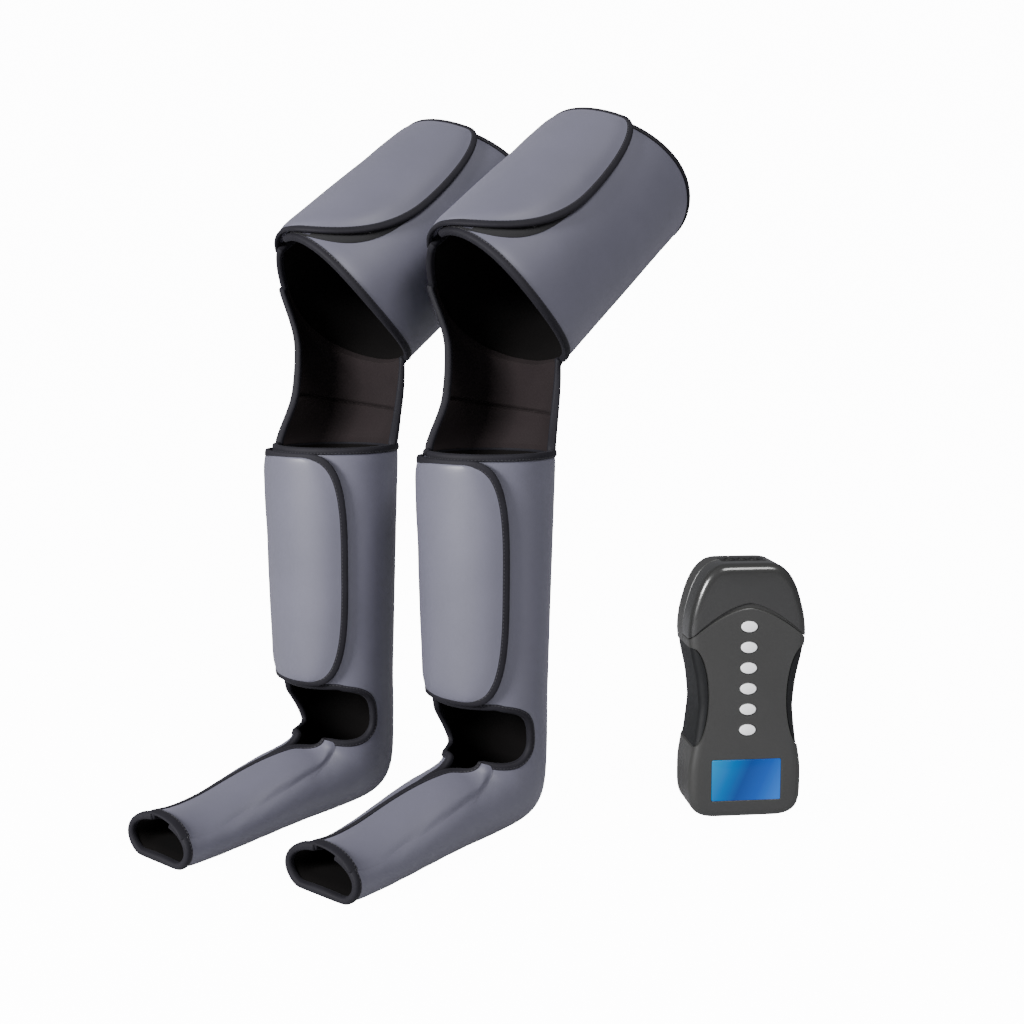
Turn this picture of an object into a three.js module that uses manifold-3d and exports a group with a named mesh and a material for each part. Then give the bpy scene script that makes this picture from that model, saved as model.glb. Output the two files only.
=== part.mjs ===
// Air compression leg massager: a pair of boot-shaped air wraps, each with a thigh cuff on a soft
// knee panel, and the hand controller that inflates them.
// Millimetres, +Z up, toes towards -Y. The origin is on the right wrap's sole, below its calf's axis.
import * as THREE from "three";
import { mergeVertices } from "three/addons/utils/BufferGeometryUtils.js";
import Module from "manifold-3d";

const wasm = await Module();
wasm.setup();

// Driving dimensions of the pair
const legSpacing = 173; // between the two wraps, across the body
const legStagger = 46; // the left wrap stands this much further forward
const clearance = 0.3; // between pieces that seat on each other
const overrun = 20; // how far a cutter runs past what it cuts

// Wall of every wrap, measured inwards from the outer face
const coverThickness = 2.4;
const bladderInset = 2.9;
const bladderThickness = 2.8;
const calfChamberMargin = 0.08; // shares of the sleeve's length
const thighChamberMargin = 0.1;
const liningInset = 6.2;
const liningThickness = 2;
const bindingWidth = 4.5;
const bindingProud = 0.8;
const wallThickness = liningInset + liningThickness;
const ankleBindingSeat = 0.6; // wider than the clearance, for the opening's tight lower curve
const bindingDepth = wallThickness + bindingProud;

// Calf sleeve
const calfTopHeight = 379;
const calfBottomHeight = 134;
const calfTopRadius = 66.5;
const calfBottomRadius = 59;
const calfSlotStartAngle = -52; // degrees round from the shin, where the outer panel ends
const calfTongueEdgeAngle = -28; // and where the under layer begins

// Foot sleeve
const toeReach = 241; // from the ankle axis to the toe opening
const toeHeight = 58;
const toeHalfWidth = 46;
const instepReach = 72; // from the ankle axis to the point where ankle and foot meet
const instepPivotHeight = 88;
const instepDepth = 15.5;
const heelReach = 61;
const heelSquareness = 6.5;
const heelHalfWidth = 53.5;
const soleSink = 7; // how much of the round underside is pressed flat
const ankleOpeningNearAngle = 84; // degrees round from the instep, on the +X side
const ankleOpeningFarAngle = 97;
const ankleCornerNearAngle = 48; // where its upper corners start to round
const ankleCornerFarAngle = 70;
const ankleOpeningBottomAngle = 28; // degrees of turn at which it closes
const ankleCornerPower = 3.5;
const ankleToePower = 2.4;
const footSlotNearAngle = 28;
const footSlotFarAngle = 12;

// Thigh cuff
const thighLeanAngle = 56.6; // degrees from upright
const thighHalfWidth = 81;
const thighHalfDepth = 93.5;
const thighBaseBack = 31; // middle of the lower rim, behind the ankle axis
const kneeRise = 161; // from the calf's upper rim to the middle of the thigh's lower rim
const thighLength = 231;
const thighRimSlope = 20; // the upper rim is longer underneath by this much each way
const thighSideDrop = 23; // the lower rim hangs lower at the sides by this much
const thighFrontDrop = 45; // and over the knee by this much more
const thighFrontDropAngle = 25;
const thighFrontDropFarReachAngle = 110; // over which it fades on either side
const thighFrontDropNearReachAngle = 140;
const thighSlotStartAngle = -40;
const thighTongueEdgeAngle = -20;

// Flaps: padded panels that close with hook and loop
const flapThickness = 4.6;
const flapLift = 3.6; // of the flap's inner face above the cover, room for the hook strip
const thighFlapRootLift = 1.3; // over the tape along the panel below
const calfFlapRootLift = 0.2;
const flapRootReachAngle = 20; // degrees over which the lift grows
const flapBindingUnder = 0.2; // how far the tape reaches below the flap
const calfFlapRootAngle = -60;
const calfFlapEdgeAngle = 52;
const calfFlapCornerAngle = 18; // degrees at which the corners start to round
const calfFlapTopGap = 6; // below the rim of the sleeve
const calfFlapBottomGap = 6;
const thighFlapRootAngle = -46;
const thighFlapEdgeAngle = 54;
const thighFlapUpperCornerAngle = 36;
const thighFlapLowerCornerAngle = -8;
const thighFlapCornerPower = 2;
const thighFlapEndGap = 3;
const footFlapRootAngle = 60;
const footFlapEdgeAngle = -32;
const footFlapSweepAngle = 30; // degrees from the root over which its end sweeps back
const footFlapTongueGap = 6; // from the end of the ankle opening
const footFlapCornerAngle = -8;
const footFlapLift = 2.2;
const footFlapRootLift = 1.4;
const footFlapThickness = 3.4;
const footFlapEndGap = 2;
const flapCornerPower = 3.2;

// Knee panel and the fold line that the thigh cuff turns about
const kneePanelThickness = 7;
const kneeNearAngle = 117; // degrees round the calf rim
const kneeFarAngle = 298;
const kneeNearUpperAngle = 150; // degrees round the thigh rim
const kneeFarUpperAngle = 285;
const kneeWaistShare = 0.1;
const kneeBulge = 9;
const kneePanelInset = 0.6;
const kneeSeatGap = 1.4; // to the thigh's binding, whose facets differ

// Air inlet on the back of each calf
const inletHeight = 294;
const inletFlangeRadius = 9;
const inletFlangeThickness = 2;
const inletTubeRadius = 3.6;
const inletBoreRadius = 1.8;
const inletLength = 12;
const inletBarb = 0.9;

// How finely the curved sheets are divided
const sleeveColumns = 18;
const footColumns = 16;
const openingRows = 8;
const heelRows = 5;
const heelRowPower = 2; // above 1, the rows crowd towards the heel
const footRows = 2;
const flapColumns = 7;
const flapRows = 10;
const kneeColumns = 10;
const kneeRows = 4;
const bladderMargin = 2; // facets that the air chamber stays away from the sleeve's edges
const inletSides = 16;

const fullTurnAngle = 360;
const quarterTurnAngle = 90;
const rad = THREE.MathUtils.degToRad;
const lerp = THREE.MathUtils.lerp;
const span = (count) => Array.from({ length: count + 1 }, (_, i) => i / count);

// Materials, from the photograph
const paint = (colour, roughness, metalness = 0) =>
  new THREE.MeshStandardMaterial({ color: colour, roughness, metalness });
const shellFabric = paint(0x72717d, 0.55);
const liningFabric = paint(0x16151a, 0.95);
const bindingTape = paint(0x26262c, 0.8);
const bladderFilm = paint(0xb9bcc2, 0.4);
const casingPlastic = paint(0x3a3a3a, 0.45);
const visorPlastic = paint(0x2b2b2b, 0.2);
const gripRubber = paint(0x141518, 0.7);
const buttonPlastic = paint(0xe4e4e6, 0.3);
const displayGlass = paint(0x2f7fd0, 0.1);
const boardLaminate = paint(0x1f5a3a, 0.6);
const siliconeRubber = paint(0x8d8d92, 0.8);
const pumpMetal = paint(0xa8abad, 0.35, 1);
const socketPlastic = paint(0x101010, 0.5);

// Turns lists of corners and triangles into a geometry whose faces point out.
function closedGeometry(points, triangles) {
  let volume = 0;
  const cross = new THREE.Vector3();
  for (const [a, b, c] of triangles) {
    volume += points[a].dot(cross.crossVectors(points[b], points[c]));
  }
  const index = triangles.flatMap(([a, b, c]) => (volume > 0 ? [a, b, c] : [a, c, b]));
  const geometry = new THREE.BufferGeometry();
  const corners = points.flatMap((point) => point.toArray());
  geometry.setAttribute("position", new THREE.Float32BufferAttribute(corners, 3));
  geometry.setIndex(index);
  return geometry;
}

// A closed sheet between two grids of points of the same shape.
function sheet(outer, inner) {
  const rows = outer.length;
  const columns = outer[0].length;
  const points = [...outer.flat(), ...inner.flat()];
  const at = (r, c) => r * columns + c;
  const below = rows * columns;
  const triangles = [];
  const quad = (a, b, c, d) => triangles.push([a, b, c], [a, c, d]);
  for (let r = 0; r < rows - 1; r++) {
    for (let c = 0; c < columns - 1; c++) {
      quad(at(r, c), at(r, c + 1), at(r + 1, c + 1), at(r + 1, c));
      quad(below + at(r, c), below + at(r + 1, c), below + at(r + 1, c + 1), below + at(r, c + 1));
    }
  }
  const border = borderOf(rows, columns).map(([r, c]) => at(r, c));
  border.forEach((a, i) => {
    const b = border[(i + 1) % border.length];
    quad(b, a, below + a, below + b);
  });
  return closedGeometry(points, triangles);
}

// The grid's border, in the order in which its faces turn.
function borderOf(rows, columns) {
  const border = [];
  for (let c = 0; c < columns - 1; c++) border.push([0, c]);
  for (let r = 0; r < rows - 1; r++) border.push([r, columns - 1]);
  for (let c = columns - 1; c > 0; c--) border.push([rows - 1, c]);
  for (let r = rows - 1; r > 0; r--) border.push([r, 0]);
  return border;
}

// Joins a row of equal sections to a solid: a ring if closed, otherwise with two flat ends.
function loft(sections, closed = false) {
  const sides = sections[0].length;
  const points = sections.flat();
  const triangles = [];
  const spans = closed ? sections.length : sections.length - 1;
  for (let s = 0; s < spans; s++) {
    const next = (s + 1) % sections.length;
    for (let k = 0; k < sides; k++) {
      const k2 = (k + 1) % sides;
      const [a, b, c, d] = [s * sides + k, s * sides + k2, next * sides + k2, next * sides + k];
      triangles.push([a, b, c], [a, c, d]);
    }
  }
  if (!closed) {
    const last = (sections.length - 1) * sides;
    for (let k = 1; k < sides - 1; k++) {
      triangles.push([0, k + 1, k], [last, last + k, last + k + 1]);
    }
  }
  return closedGeometry(points, triangles);
}

// Edge tape: a bar that runs just past the edge of a sheet. Each station has the edge point, the
// direction out of the sheet across its edge, and the outward normal of the sheet.
function tape(stations, { closed = false, proud, depth, seat = clearance, floor = -Infinity }) {
  const count = stations.length;
  const sections = stations.map((station, i) => {
    const before = stations[closed ? (i + count - 1) % count : Math.max(i - 1, 0)].point;
    const after = stations[closed ? (i + 1) % count : Math.min(i + 1, count - 1)].point;
    const { point, normal } = station;
    const along = after.clone().sub(before).normalize();
    const across = new THREE.Vector3().crossVectors(along, normal).normalize();
    const legs = [point.clone().sub(before), after.clone().sub(point)].filter((v) => v.length() > 0);
    const turn = legs.length > 1 ? legs[0].angleTo(legs[1]) : 0;
    const mitre = 1 / Math.max(Math.cos(turn / 2), 0.6);
    const corner = (far, high) => {
      const p = point.clone().addScaledVector(across, far).addScaledVector(normal, high);
      p.z = Math.max(p.z, floor);
      return p;
    };
    const start = seat * mitre;
    const end = bindingWidth * mitre;
    return [corner(start, proud), corner(end, proud), corner(end, -depth), corner(start, -depth)];
  });
  return loft(sections, closed);
}

// manifold-3d solids for the pieces of the controller
function solid(geometry) {
  const bare = geometry.clone();
  bare.deleteAttribute("normal");
  bare.deleteAttribute("uv");
  const merged = mergeVertices(bare, 1e-3);
  return new wasm.Manifold(
    new wasm.Mesh({
      numProp: 3,
      vertProperties: new Float32Array(merged.attributes.position.array),
      triVerts: new Uint32Array(merged.index.array),
    }),
  );
}

function geometryOf(manifold) {
  const mesh = manifold.getMesh();
  const corners = new Float32Array(mesh.numVert * 3);
  for (let i = 0; i < mesh.numVert; i++) {
    corners.set(mesh.vertProperties.subarray(i * mesh.numProp, i * mesh.numProp + 3), i * 3);
  }
  const geometry = new THREE.BufferGeometry();
  geometry.setAttribute("position", new THREE.BufferAttribute(corners, 3));
  geometry.setIndex(new THREE.BufferAttribute(mesh.triVerts, 1));
  return geometry;
}

function piece(parent, name, geometry, material) {
  const mesh = new THREE.Mesh(geometry, material);
  mesh.name = name;
  parent.add(mesh);
  return mesh;
}

// Leg surfaces. Each gives a point for a place on the outer face and an offset out from it.

// Round section of the calf sleeve at a height; 0 degrees is the shin, 90 is +X.
function calfPoint(degrees, height, offset) {
  const share = (height - calfBottomHeight) / (calfTopHeight - calfBottomHeight);
  const radius = lerp(calfBottomRadius, calfTopRadius, share) + offset;
  return new THREE.Vector3(radius * Math.sin(rad(degrees)), -radius * Math.cos(rad(degrees)), height);
}

// Sections of the foot sleeve: level below the calf, then fanning about the instep, then upright
// across the foot. The path runs in millimetres from the calf's lower edge to the toes.
const fanRadius = instepReach;
const levelRun = calfBottomHeight - clearance - instepPivotHeight;
const fanRun = rad(quarterTurnAngle) * fanRadius;
const footRun = toeReach - instepReach;
const pathLength = levelRun + fanRun + footRun;

function footSection(path) {
  if (path <= levelRun) {
    const height = calfBottomHeight - clearance - path;
    const radius = lerp(calfBottomRadius, calfBottomRadius - instepDepth / 8, path / levelRun);
    const back = lerp(calfBottomRadius, heelReach, path / levelRun);
    const front = lerp(calfBottomRadius, instepReach - instepDepth, path / levelRun);
    return { front: [-front, height], back: [back, height], half: radius };
  }
  if (path <= levelRun + fanRun) {
    const turn = (path - levelRun) / fanRadius;
    const reach = heelReach + instepReach;
    const drop = instepPivotHeight + soleSink;
    const level = (Math.abs(Math.cos(turn)) / reach) ** heelSquareness;
    const upright = (Math.sin(turn) / drop) ** heelSquareness;
    const far = (level + upright) ** (-1 / heelSquareness);
    const share = turn / rad(quarterTurnAngle);
    const half = lerp(calfBottomRadius - instepDepth / 8, (heelHalfWidth + toeHalfWidth) / 2, share);
    const along = (distance) => [
      -instepReach + distance * Math.cos(turn),
      instepPivotHeight - distance * Math.sin(turn),
    ];
    return { front: along(instepDepth), back: along(far), half };
  }
  const share = (path - levelRun - fanRun) / footRun;
  const reach = lerp(instepReach, toeReach, share);
  const top = lerp(instepPivotHeight - instepDepth, toeHeight, share);
  const half = lerp((heelHalfWidth + toeHalfWidth) / 2, toeHalfWidth, share);
  return { front: [-reach, top], back: [-reach, -soleSink], half };
}

function footPoint(degrees, path, offset) {
  const { front, back, half } = footSection(path);
  const middle = [(front[0] + back[0]) / 2, (front[1] + back[1]) / 2];
  const away = [front[0] - middle[0], front[1] - middle[1]];
  const length = Math.hypot(...away);
  const share = ((length + offset) / length) * Math.cos(rad(degrees));
  const height = middle[1] + away[1] * share;
  return new THREE.Vector3(
    (half + offset) * Math.sin(rad(degrees)),
    middle[0] + away[0] * share,
    Math.max(height, -Math.min(offset, 0)),
  );
}

// The two edges of the ankle opening and of the slot along the foot, in degrees.
const openingRun = levelRun + rad(ankleOpeningBottomAngle) * fanRadius;

function openingEdge(path, side) {
  const [reach, corner, slot] = {
    near: [ankleOpeningNearAngle, ankleCornerNearAngle, footSlotNearAngle],
    far: [ankleOpeningFarAngle, ankleCornerFarAngle, footSlotFarAngle],
  }[side];
  const centre = openingRun / 2;
  const share = Math.min(Math.abs(path - centre) / centre, 1);
  const power = path < centre ? ankleCornerPower : ankleToePower;
  const open = reach * (1 - share ** power) ** (1 / power);
  return Math.max(open, path < centre ? corner : slot);
}

// Paths of the foot sleeve's rows, closest at the ends of the opening.
const openingPaths = span(openingRows).map((s) => (openingRun * (1 - Math.cos(Math.PI * s))) / 2);
const heelPaths = span(heelRows).slice(1)
  .map((s) => lerp(openingRun, levelRun + fanRun, s ** heelRowPower));
const toePath = pathLength - bindingWidth;
const toePaths = span(footRows).slice(1).map((s) => lerp(levelRun + fanRun, toePath, s));
const footPaths = [...openingPaths, ...heelPaths, ...toePaths];

// Thigh cuff: an oval tube along a leaning axis; 0 degrees is the top of the thigh.
const thighBase = new THREE.Vector3(0, thighBaseBack, calfTopHeight + kneeRise);
const thighAxis = new THREE.Vector3(0, Math.sin(rad(thighLeanAngle)), Math.cos(rad(thighLeanAngle)));
const thighUp = new THREE.Vector3(0, -Math.cos(rad(thighLeanAngle)), Math.sin(rad(thighLeanAngle)));

function thighPoint(degrees, along, offset) {
  const point = thighBase.clone().addScaledVector(thighAxis, along);
  point.x += (thighHalfWidth + offset) * Math.sin(rad(degrees));
  return point.addScaledVector(thighUp, (thighHalfDepth + offset) * Math.cos(rad(degrees)));
}

function thighLowerRim(degrees) {
  const half = fullTurnAngle / 2;
  const away = ((degrees + half) % fullTurnAngle) - half - thighFrontDropAngle;
  const reach = away < 0 ? thighFrontDropFarReachAngle : thighFrontDropNearReachAngle;
  const front = (1 + Math.cos(Math.PI * Math.min(Math.abs(away) / reach, 1))) / 2;
  return -thighSideDrop * Math.sin(rad(degrees)) ** 2 - thighFrontDrop * front;
}
const thighUpperRim = (degrees) => thighLength - thighRimSlope * Math.cos(rad(degrees));

// The station on a sheet's border for its tape: the outer point and the outward normal there.
function borderStation(surface, u, v, offset = 0) {
  const point = surface(u, v, offset);
  const normal = point.clone().sub(surface(u, v, offset - 1)).normalize();
  return { point, normal };
}

// Grids of points on a surface, for shares of its rows and columns.
const gridOn = (surface, rows, columns, offset) =>
  rows.map((r) => columns.map((c) => surface(r, c, offset)));

const layer = (surface, rows, columns, inset, thickness) =>
  sheet(gridOn(surface, rows, columns, -inset), gridOn(surface, rows, columns, -inset - thickness));

// Cover, air chamber and lining share the facets of their sleeve, so they nest.
function sleeve(parent, name, surface, rows, columns, chamberRows) {
  const chamberColumns = columns.slice(bladderMargin, -bladderMargin);
  piece(parent, `${name}_cover`, layer(surface, rows, columns, 0, coverThickness), shellFabric);
  const lining = layer(surface, rows, columns, liningInset, liningThickness);
  piece(parent, `${name}_lining`, lining, liningFabric);
  const chamber = layer(surface, chamberRows, chamberColumns, bladderInset, bladderThickness);
  piece(parent, `${name}_air_chamber`, chamber, bladderFilm);
}

// A flap: it starts close to the cover at its root, lifts, and ends in an edge with round corners.
// The place gives a point for a share along the root, an angle and an offset.
function flapSurface(place, { root, edge, startCorner, endCorner, power, lift, rootLift }) {
  const reach = (share) => {
    const t = 2 * share - 1;
    const corner = t < 0 ? startCorner : endCorner;
    return lerp(corner, edge, (1 - Math.abs(t) ** power) ** (1 / power));
  };
  return (row, column, offset) => {
    const share = (1 - Math.cos(Math.PI * row)) / 2;
    const degrees = lerp(root, reach(share), column);
    const rise = Math.min(Math.abs(degrees - root) / flapRootReachAngle, 1);
    return place(share, degrees, lerp(rootLift, lift, rise) + offset);
  };
}

// The flap's root edge is bevelled, so that it can swing open past its own thickness.
function flap(parent, name, surface, thickness) {
  const rows = span(flapRows);
  const columns = span(flapColumns);
  const bevel = 1 / (2 * flapColumns);
  const outer = gridOn(surface, rows, [bevel, ...columns.slice(1)], thickness);
  piece(parent, `${name}_flap`, sheet(outer, gridOn(surface, rows, columns, 0)), shellFabric);
  const inside = columns.slice(1, -1);
  const stations = [
    ...inside.map((c) => borderStation(surface, 0, c, thickness)),
    ...rows.map((r) => borderStation(surface, r, 1, thickness)),
    ...inside.reverse().map((c) => borderStation(surface, 1, c, thickness)),
  ];
  const size = { proud: bindingProud, depth: thickness + flapBindingUnder };
  piece(parent, `${name}_flap_binding`, tape(stations, size), bindingTape);
}

const wallTape = { proud: bindingProud, depth: bindingDepth };

// Calf: the sleeve, its rim, its flap and the air inlet behind it
const calfSurface = (row, column, offset) =>
  calfPoint(
    lerp(calfTongueEdgeAngle, fullTurnAngle + calfSlotStartAngle, column),
    lerp(calfBottomHeight, calfTopHeight, row),
    offset,
  );

function calf(side) {
  const group = new THREE.Group();
  const columns = span(sleeveColumns);
  sleeve(group, `${side}_calf`, calfSurface, [0, 1], columns, [calfChamberMargin, 1 - calfChamberMargin]);
  const rim = [...columns].reverse().map((c) => borderStation(calfSurface, 1, c));
  piece(group, `${side}_calf_rim_binding`, tape(rim, wallTape), bindingTape);
  const low = calfBottomHeight + calfFlapBottomGap;
  const high = calfTopHeight - calfFlapTopGap;
  const place = (share, degrees, offset) => calfPoint(degrees, lerp(low, high, share), offset);
  const shape = {
    root: calfFlapRootAngle,
    edge: calfFlapEdgeAngle,
    startCorner: calfFlapCornerAngle,
    endCorner: calfFlapCornerAngle,
    power: flapCornerPower,
    lift: flapLift,
    rootLift: calfFlapRootLift,
  };
  flap(group, `${side}_calf`, flapSurface(place, shape), flapThickness);
  group.add(airInlet(side));
  return group;
}

// A barbed tube on a round flange, with a bore, turned about its own axis.
function airInlet(side) {
  const barbStart = inletFlangeThickness + inletLength / 2;
  const tip = inletFlangeThickness + inletLength;
  const profile = [
    [inletBoreRadius, 0],
    [inletFlangeRadius, 0],
    [inletFlangeRadius, inletFlangeThickness],
    [inletTubeRadius, inletFlangeThickness],
    [inletTubeRadius, barbStart],
    [inletTubeRadius + inletBarb, barbStart],
    [inletTubeRadius, tip],
    [inletBoreRadius, tip],
    [inletBoreRadius, 0],
  ].map(([x, y]) => new THREE.Vector2(x, y));
  const group = new THREE.Group();
  const inlet = geometryOf(solid(new THREE.LatheGeometry(profile, inletSides)));
  piece(group, `${side}_air_inlet`, inlet, socketPlastic);
  group.position.copy(calfPoint(fullTurnAngle / 2, inletHeight, clearance));
  return group;
}

// Foot: the sleeve round heel and sole, the ankle opening, the toe rim and the flap on top
const footSurface = (row, column, offset) => {
  const path = footPaths[Math.round(row * (footPaths.length - 1))];
  const near = openingEdge(path, "near");
  const far = fullTurnAngle - openingEdge(path, "far");
  return footPoint(lerp(near, far, column), path, offset);
};

function foot(side) {
  const group = new THREE.Group();
  const columns = span(footColumns);
  const rows = span(footPaths.length - 1);
  const chamberRows = rows.slice(openingRows + 1, -1);
  sleeve(group, `${side}_foot`, footSurface, rows, columns, chamberRows);

  const openingRowShares = rows.slice(0, openingRows + 1);
  const farEdge = [...openingRowShares].reverse().map((r) => borderStation(footSurface, r, 1));
  const nearEdge = openingRowShares.map((r) => borderStation(footSurface, r, 0));
  const topLine = (row, column, offset) =>
    calfPoint(lerp(-ankleCornerFarAngle, ankleCornerNearAngle, column), calfBottomHeight, offset);
  const topEdge = span(openingRows).slice(1, -1).map((s) => borderStation(topLine, 0, s));
  const ankle = tape([...farEdge, ...topEdge, ...nearEdge], { ...wallTape, seat: ankleBindingSeat });
  piece(group, `${side}_ankle_binding`, ankle, bindingTape);

  const toe = columns.map((c) => borderStation(footSurface, 1, c));
  piece(group, `${side}_toe_binding`, tape(toe, { ...wallTape, floor: 0 }), bindingTape);

  const start = levelRun + fanRun + footFlapEndGap;
  const end = toePath - footFlapEndGap;
  // Away from its root, the flap runs back over the instep as far as the opening.
  const tongue = openingRun + footFlapTongueGap;
  const place = (share, degrees, offset) => {
    const sweep = Math.min((footFlapRootAngle - degrees) / footFlapSweepAngle, 1);
    return footPoint(degrees, lerp(lerp(start, tongue, sweep), end, share), offset);
  };
  const shape = {
    root: footFlapRootAngle,
    edge: footFlapEdgeAngle,
    startCorner: footFlapCornerAngle,
    endCorner: footFlapCornerAngle,
    power: flapCornerPower,
    lift: footFlapLift,
    rootLift: footFlapRootLift,
  };
  flap(group, `${side}_foot`, flapSurface(place, shape), footFlapThickness);
  return group;
}

// Thigh: the leaning cuff, bound all round its panel, and its flap
const thighSurface = (row, column, offset) => {
  const degrees = lerp(thighTongueEdgeAngle, fullTurnAngle + thighSlotStartAngle, column);
  return thighPoint(degrees, lerp(thighLowerRim(degrees), thighUpperRim(degrees), row), offset);
};

function thigh(side) {
  const group = new THREE.Group();
  const columns = span(sleeveColumns);
  const margins = [thighChamberMargin, 1 - thighChamberMargin];
  sleeve(group, `${side}_thigh`, thighSurface, [0, 1], columns, margins);
  const border = [
    ...columns.map((c) => borderStation(thighSurface, 0, c)),
    ...[...columns].reverse().map((c) => borderStation(thighSurface, 1, c)),
  ];
  piece(group, `${side}_thigh_binding`, tape(border, { ...wallTape, closed: true }), bindingTape);
  const place = (share, degrees, offset) => {
    const low = thighLowerRim(degrees) + thighFlapEndGap;
    const high = thighUpperRim(degrees) - thighFlapEndGap;
    return thighPoint(degrees, lerp(low, high, share), offset);
  };
  const shape = {
    root: thighFlapRootAngle,
    edge: thighFlapEdgeAngle,
    startCorner: thighFlapLowerCornerAngle,
    endCorner: thighFlapUpperCornerAngle,
    power: thighFlapCornerPower,
    lift: flapLift,
    rootLift: thighFlapRootLift,
  };
  flap(group, `${side}_thigh`, flapSurface(place, shape), flapThickness);
  return group;
}

// Knee: one soft panel behind the joint, between the two rims
function kneePoint(row, column, offset) {
  const lowAngle = lerp(kneeNearAngle, kneeFarAngle, column);
  const highAngle = lerp(kneeNearUpperAngle, kneeFarUpperAngle, column);
  const lowHeight = calfTopHeight + bindingWidth + clearance;
  const highAlong = thighLowerRim(highAngle) - bindingWidth - kneeSeatGap;
  const low = calfPoint(lowAngle, lowHeight, 0);
  const high = thighPoint(highAngle, highAlong, 0);
  const lowNormal = calfPoint(lowAngle, lowHeight, 1).sub(low);
  const highNormal = thighPoint(highAngle, highAlong, 1).sub(high);
  const middle = 4 * row * (1 - row);
  const point = low.lerp(high, row);
  point.x *= 1 - kneeWaistShare * middle;
  point.y += kneeBulge * middle;
  return point.addScaledVector(lowNormal.lerp(highNormal, row).normalize(), offset);
}

function knee(side) {
  const rows = span(kneeRows);
  const panel = layer(kneePoint, rows, span(kneeColumns), kneePanelInset, kneePanelThickness);
  const group = new THREE.Group();
  piece(group, `${side}_knee_panel`, panel, liningFabric);
  return group;
}

function leg(side, x, y) {
  const group = new THREE.Group();
  group.add(calf(side), foot(side), thigh(side), knee(side));
  group.position.set(x, y, 0);
  return group;
}

// Controller: driving dimensions, in its own frame with the front towards -Y
const controllerHeight = 265;
const controllerHalfWidth = 61.5;
const controllerDepth = 63.5;
const controllerTurnAngle = 45; // degrees, to face the same way as the toes' outer side
const controllerX = 183;
const controllerY = 188;
const controllerWall = 2.6;
const controllerRound = 9.5;
const controllerRoundSteps = 3;
// Shares of the height and of the half width, from the bottom up
const outlineShares = [
  [0, 0.62],
  [0.012, 0.8],
  [0.04, 0.92],
  [0.09, 0.955],
  [0.2, 0.955],
  [0.32, 0.87],
  [0.44, 0.81],
  [0.55, 0.86],
  [0.65, 0.96],
  [0.725, 1],
  [0.8, 0.965],
  [0.89, 0.86],
  [0.95, 0.74],
  [0.985, 0.6],
  [1, 0.48],
];
const visorHeight = 42.5; // from the upper end to the peak of the groove
const grooveFall = 35; // from the peak to the sides
const grooveWidth = 3.2;
const grooveEndWidth = 1.2;
const groovePower = 1.6;
const grooveSteps = 8;
const gripCentreHeight = 126;
const gripHalfHeight = 53;
const gripReach = 41.5; // from the middle line to the grip's inner edge
const gripHalfWidth = 18;
const gripSides = 24;
const displayWidth = 72;
const displayHeight = 42.5;
const displayCentre = 40.5;
const displayModuleMargin = 3;
const displayModuleDepth = 4;
const buttonCount = 6;
const buttonHalfWidth = 8.4;
const buttonHalfHeight = 5.6;
const buttonTopShare = 0.7584905660; // of the controller's height
const buttonBottomShare = 0.3528301887;
const buttonProud = 1.8;
const buttonDome = 0.8;
const buttonFlange = 1.2;
const buttonFlangeDepth = 1;
const buttonTravel = 1;
const buttonSides = 18;
const matThickness = 1.5;
const matMargin = 5;
const boardThickness = 1.6;
const boardHalfWidth = 34;
const boardMargin = 14;
const postRadius = 2.6;
const postInset = 4;
const postSides = 10;
const pumpRadius = 15;
const motorRadius = 11.5;
const pumpHeadLength = 30;
const motorLength = 42;
const pumpBase = 70;
const pumpSides = 20;
const valveWidth = 54;
const valveDepth = 22;
const valveHeight = 30;
const valveBase = 159;
const socketWidth = 46.5;
const socketDepth = 22;
const socketHeight = 16;
const hoseBoreRadius = 4;
const hoseBoreDepth = 10;
const hoseBoreSpacing = 13;
const powerBoreRadius = 3.5;

const frontFace = -controllerDepth / 2;
const grooveHeight = controllerHeight - visorHeight;
const innerFront = frontFace + controllerWall;
const innerBack = -innerFront;

function outlinePoints() {
  const right = outlineShares.map(([up, out]) =>
    new THREE.Vector2(out * controllerHalfWidth, up * controllerHeight));
  const left = right.map((p) => new THREE.Vector2(-p.x, p.y)).reverse();
  return [...right, ...left];
}

// An extruded outline that stands in XZ, from the front y to the back y.
function upright(points, front, back, round = 0, inset = 0) {
  const geometry = new THREE.ExtrudeGeometry(new THREE.Shape(points), {
    depth: back - front - 2 * round,
    bevelEnabled: round > 0 || inset > 0,
    bevelThickness: round,
    bevelSize: round,
    bevelOffset: -round - inset,
    bevelSegments: controllerRoundSteps,
    steps: 1,
  });
  geometry.rotateX(Math.PI / 2);
  geometry.translate(0, back - round, 0);
  return solid(geometry);
}

function block(x, y, z, width, depth, height) {
  const geometry = new THREE.BoxGeometry(width, depth, height);
  geometry.translate(x, y, z);
  return solid(geometry);
}

function ellipseOutline(x, z, halfWidth, halfHeight, sides) {
  return span(sides).slice(1).map((s) => {
    const turn = 2 * Math.PI * s;
    return new THREE.Vector2(x + halfWidth * Math.cos(turn), z + halfHeight * Math.sin(turn));
  });
}

const rodThrough = (points) => upright(points, -controllerDepth, controllerDepth);

// The groove's line: highest in the middle, falling to both sides.
function grooveLine(rise) {
  return span(grooveSteps).map((s) => {
    const t = 2 * s - 1;
    const fall = grooveFall * Math.abs(t) ** groovePower;
    const half = lerp(grooveWidth, grooveEndWidth, Math.abs(t)) / 2;
    return new THREE.Vector2(t * (controllerHalfWidth + overrun / 2), grooveHeight - fall + rise * half);
  });
}

const buttonTop = buttonTopShare * controllerHeight;
const buttonBottom = buttonBottomShare * controllerHeight;
const buttonHeights = span(buttonCount - 1).map((s) => lerp(buttonTop, buttonBottom, s));

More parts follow.
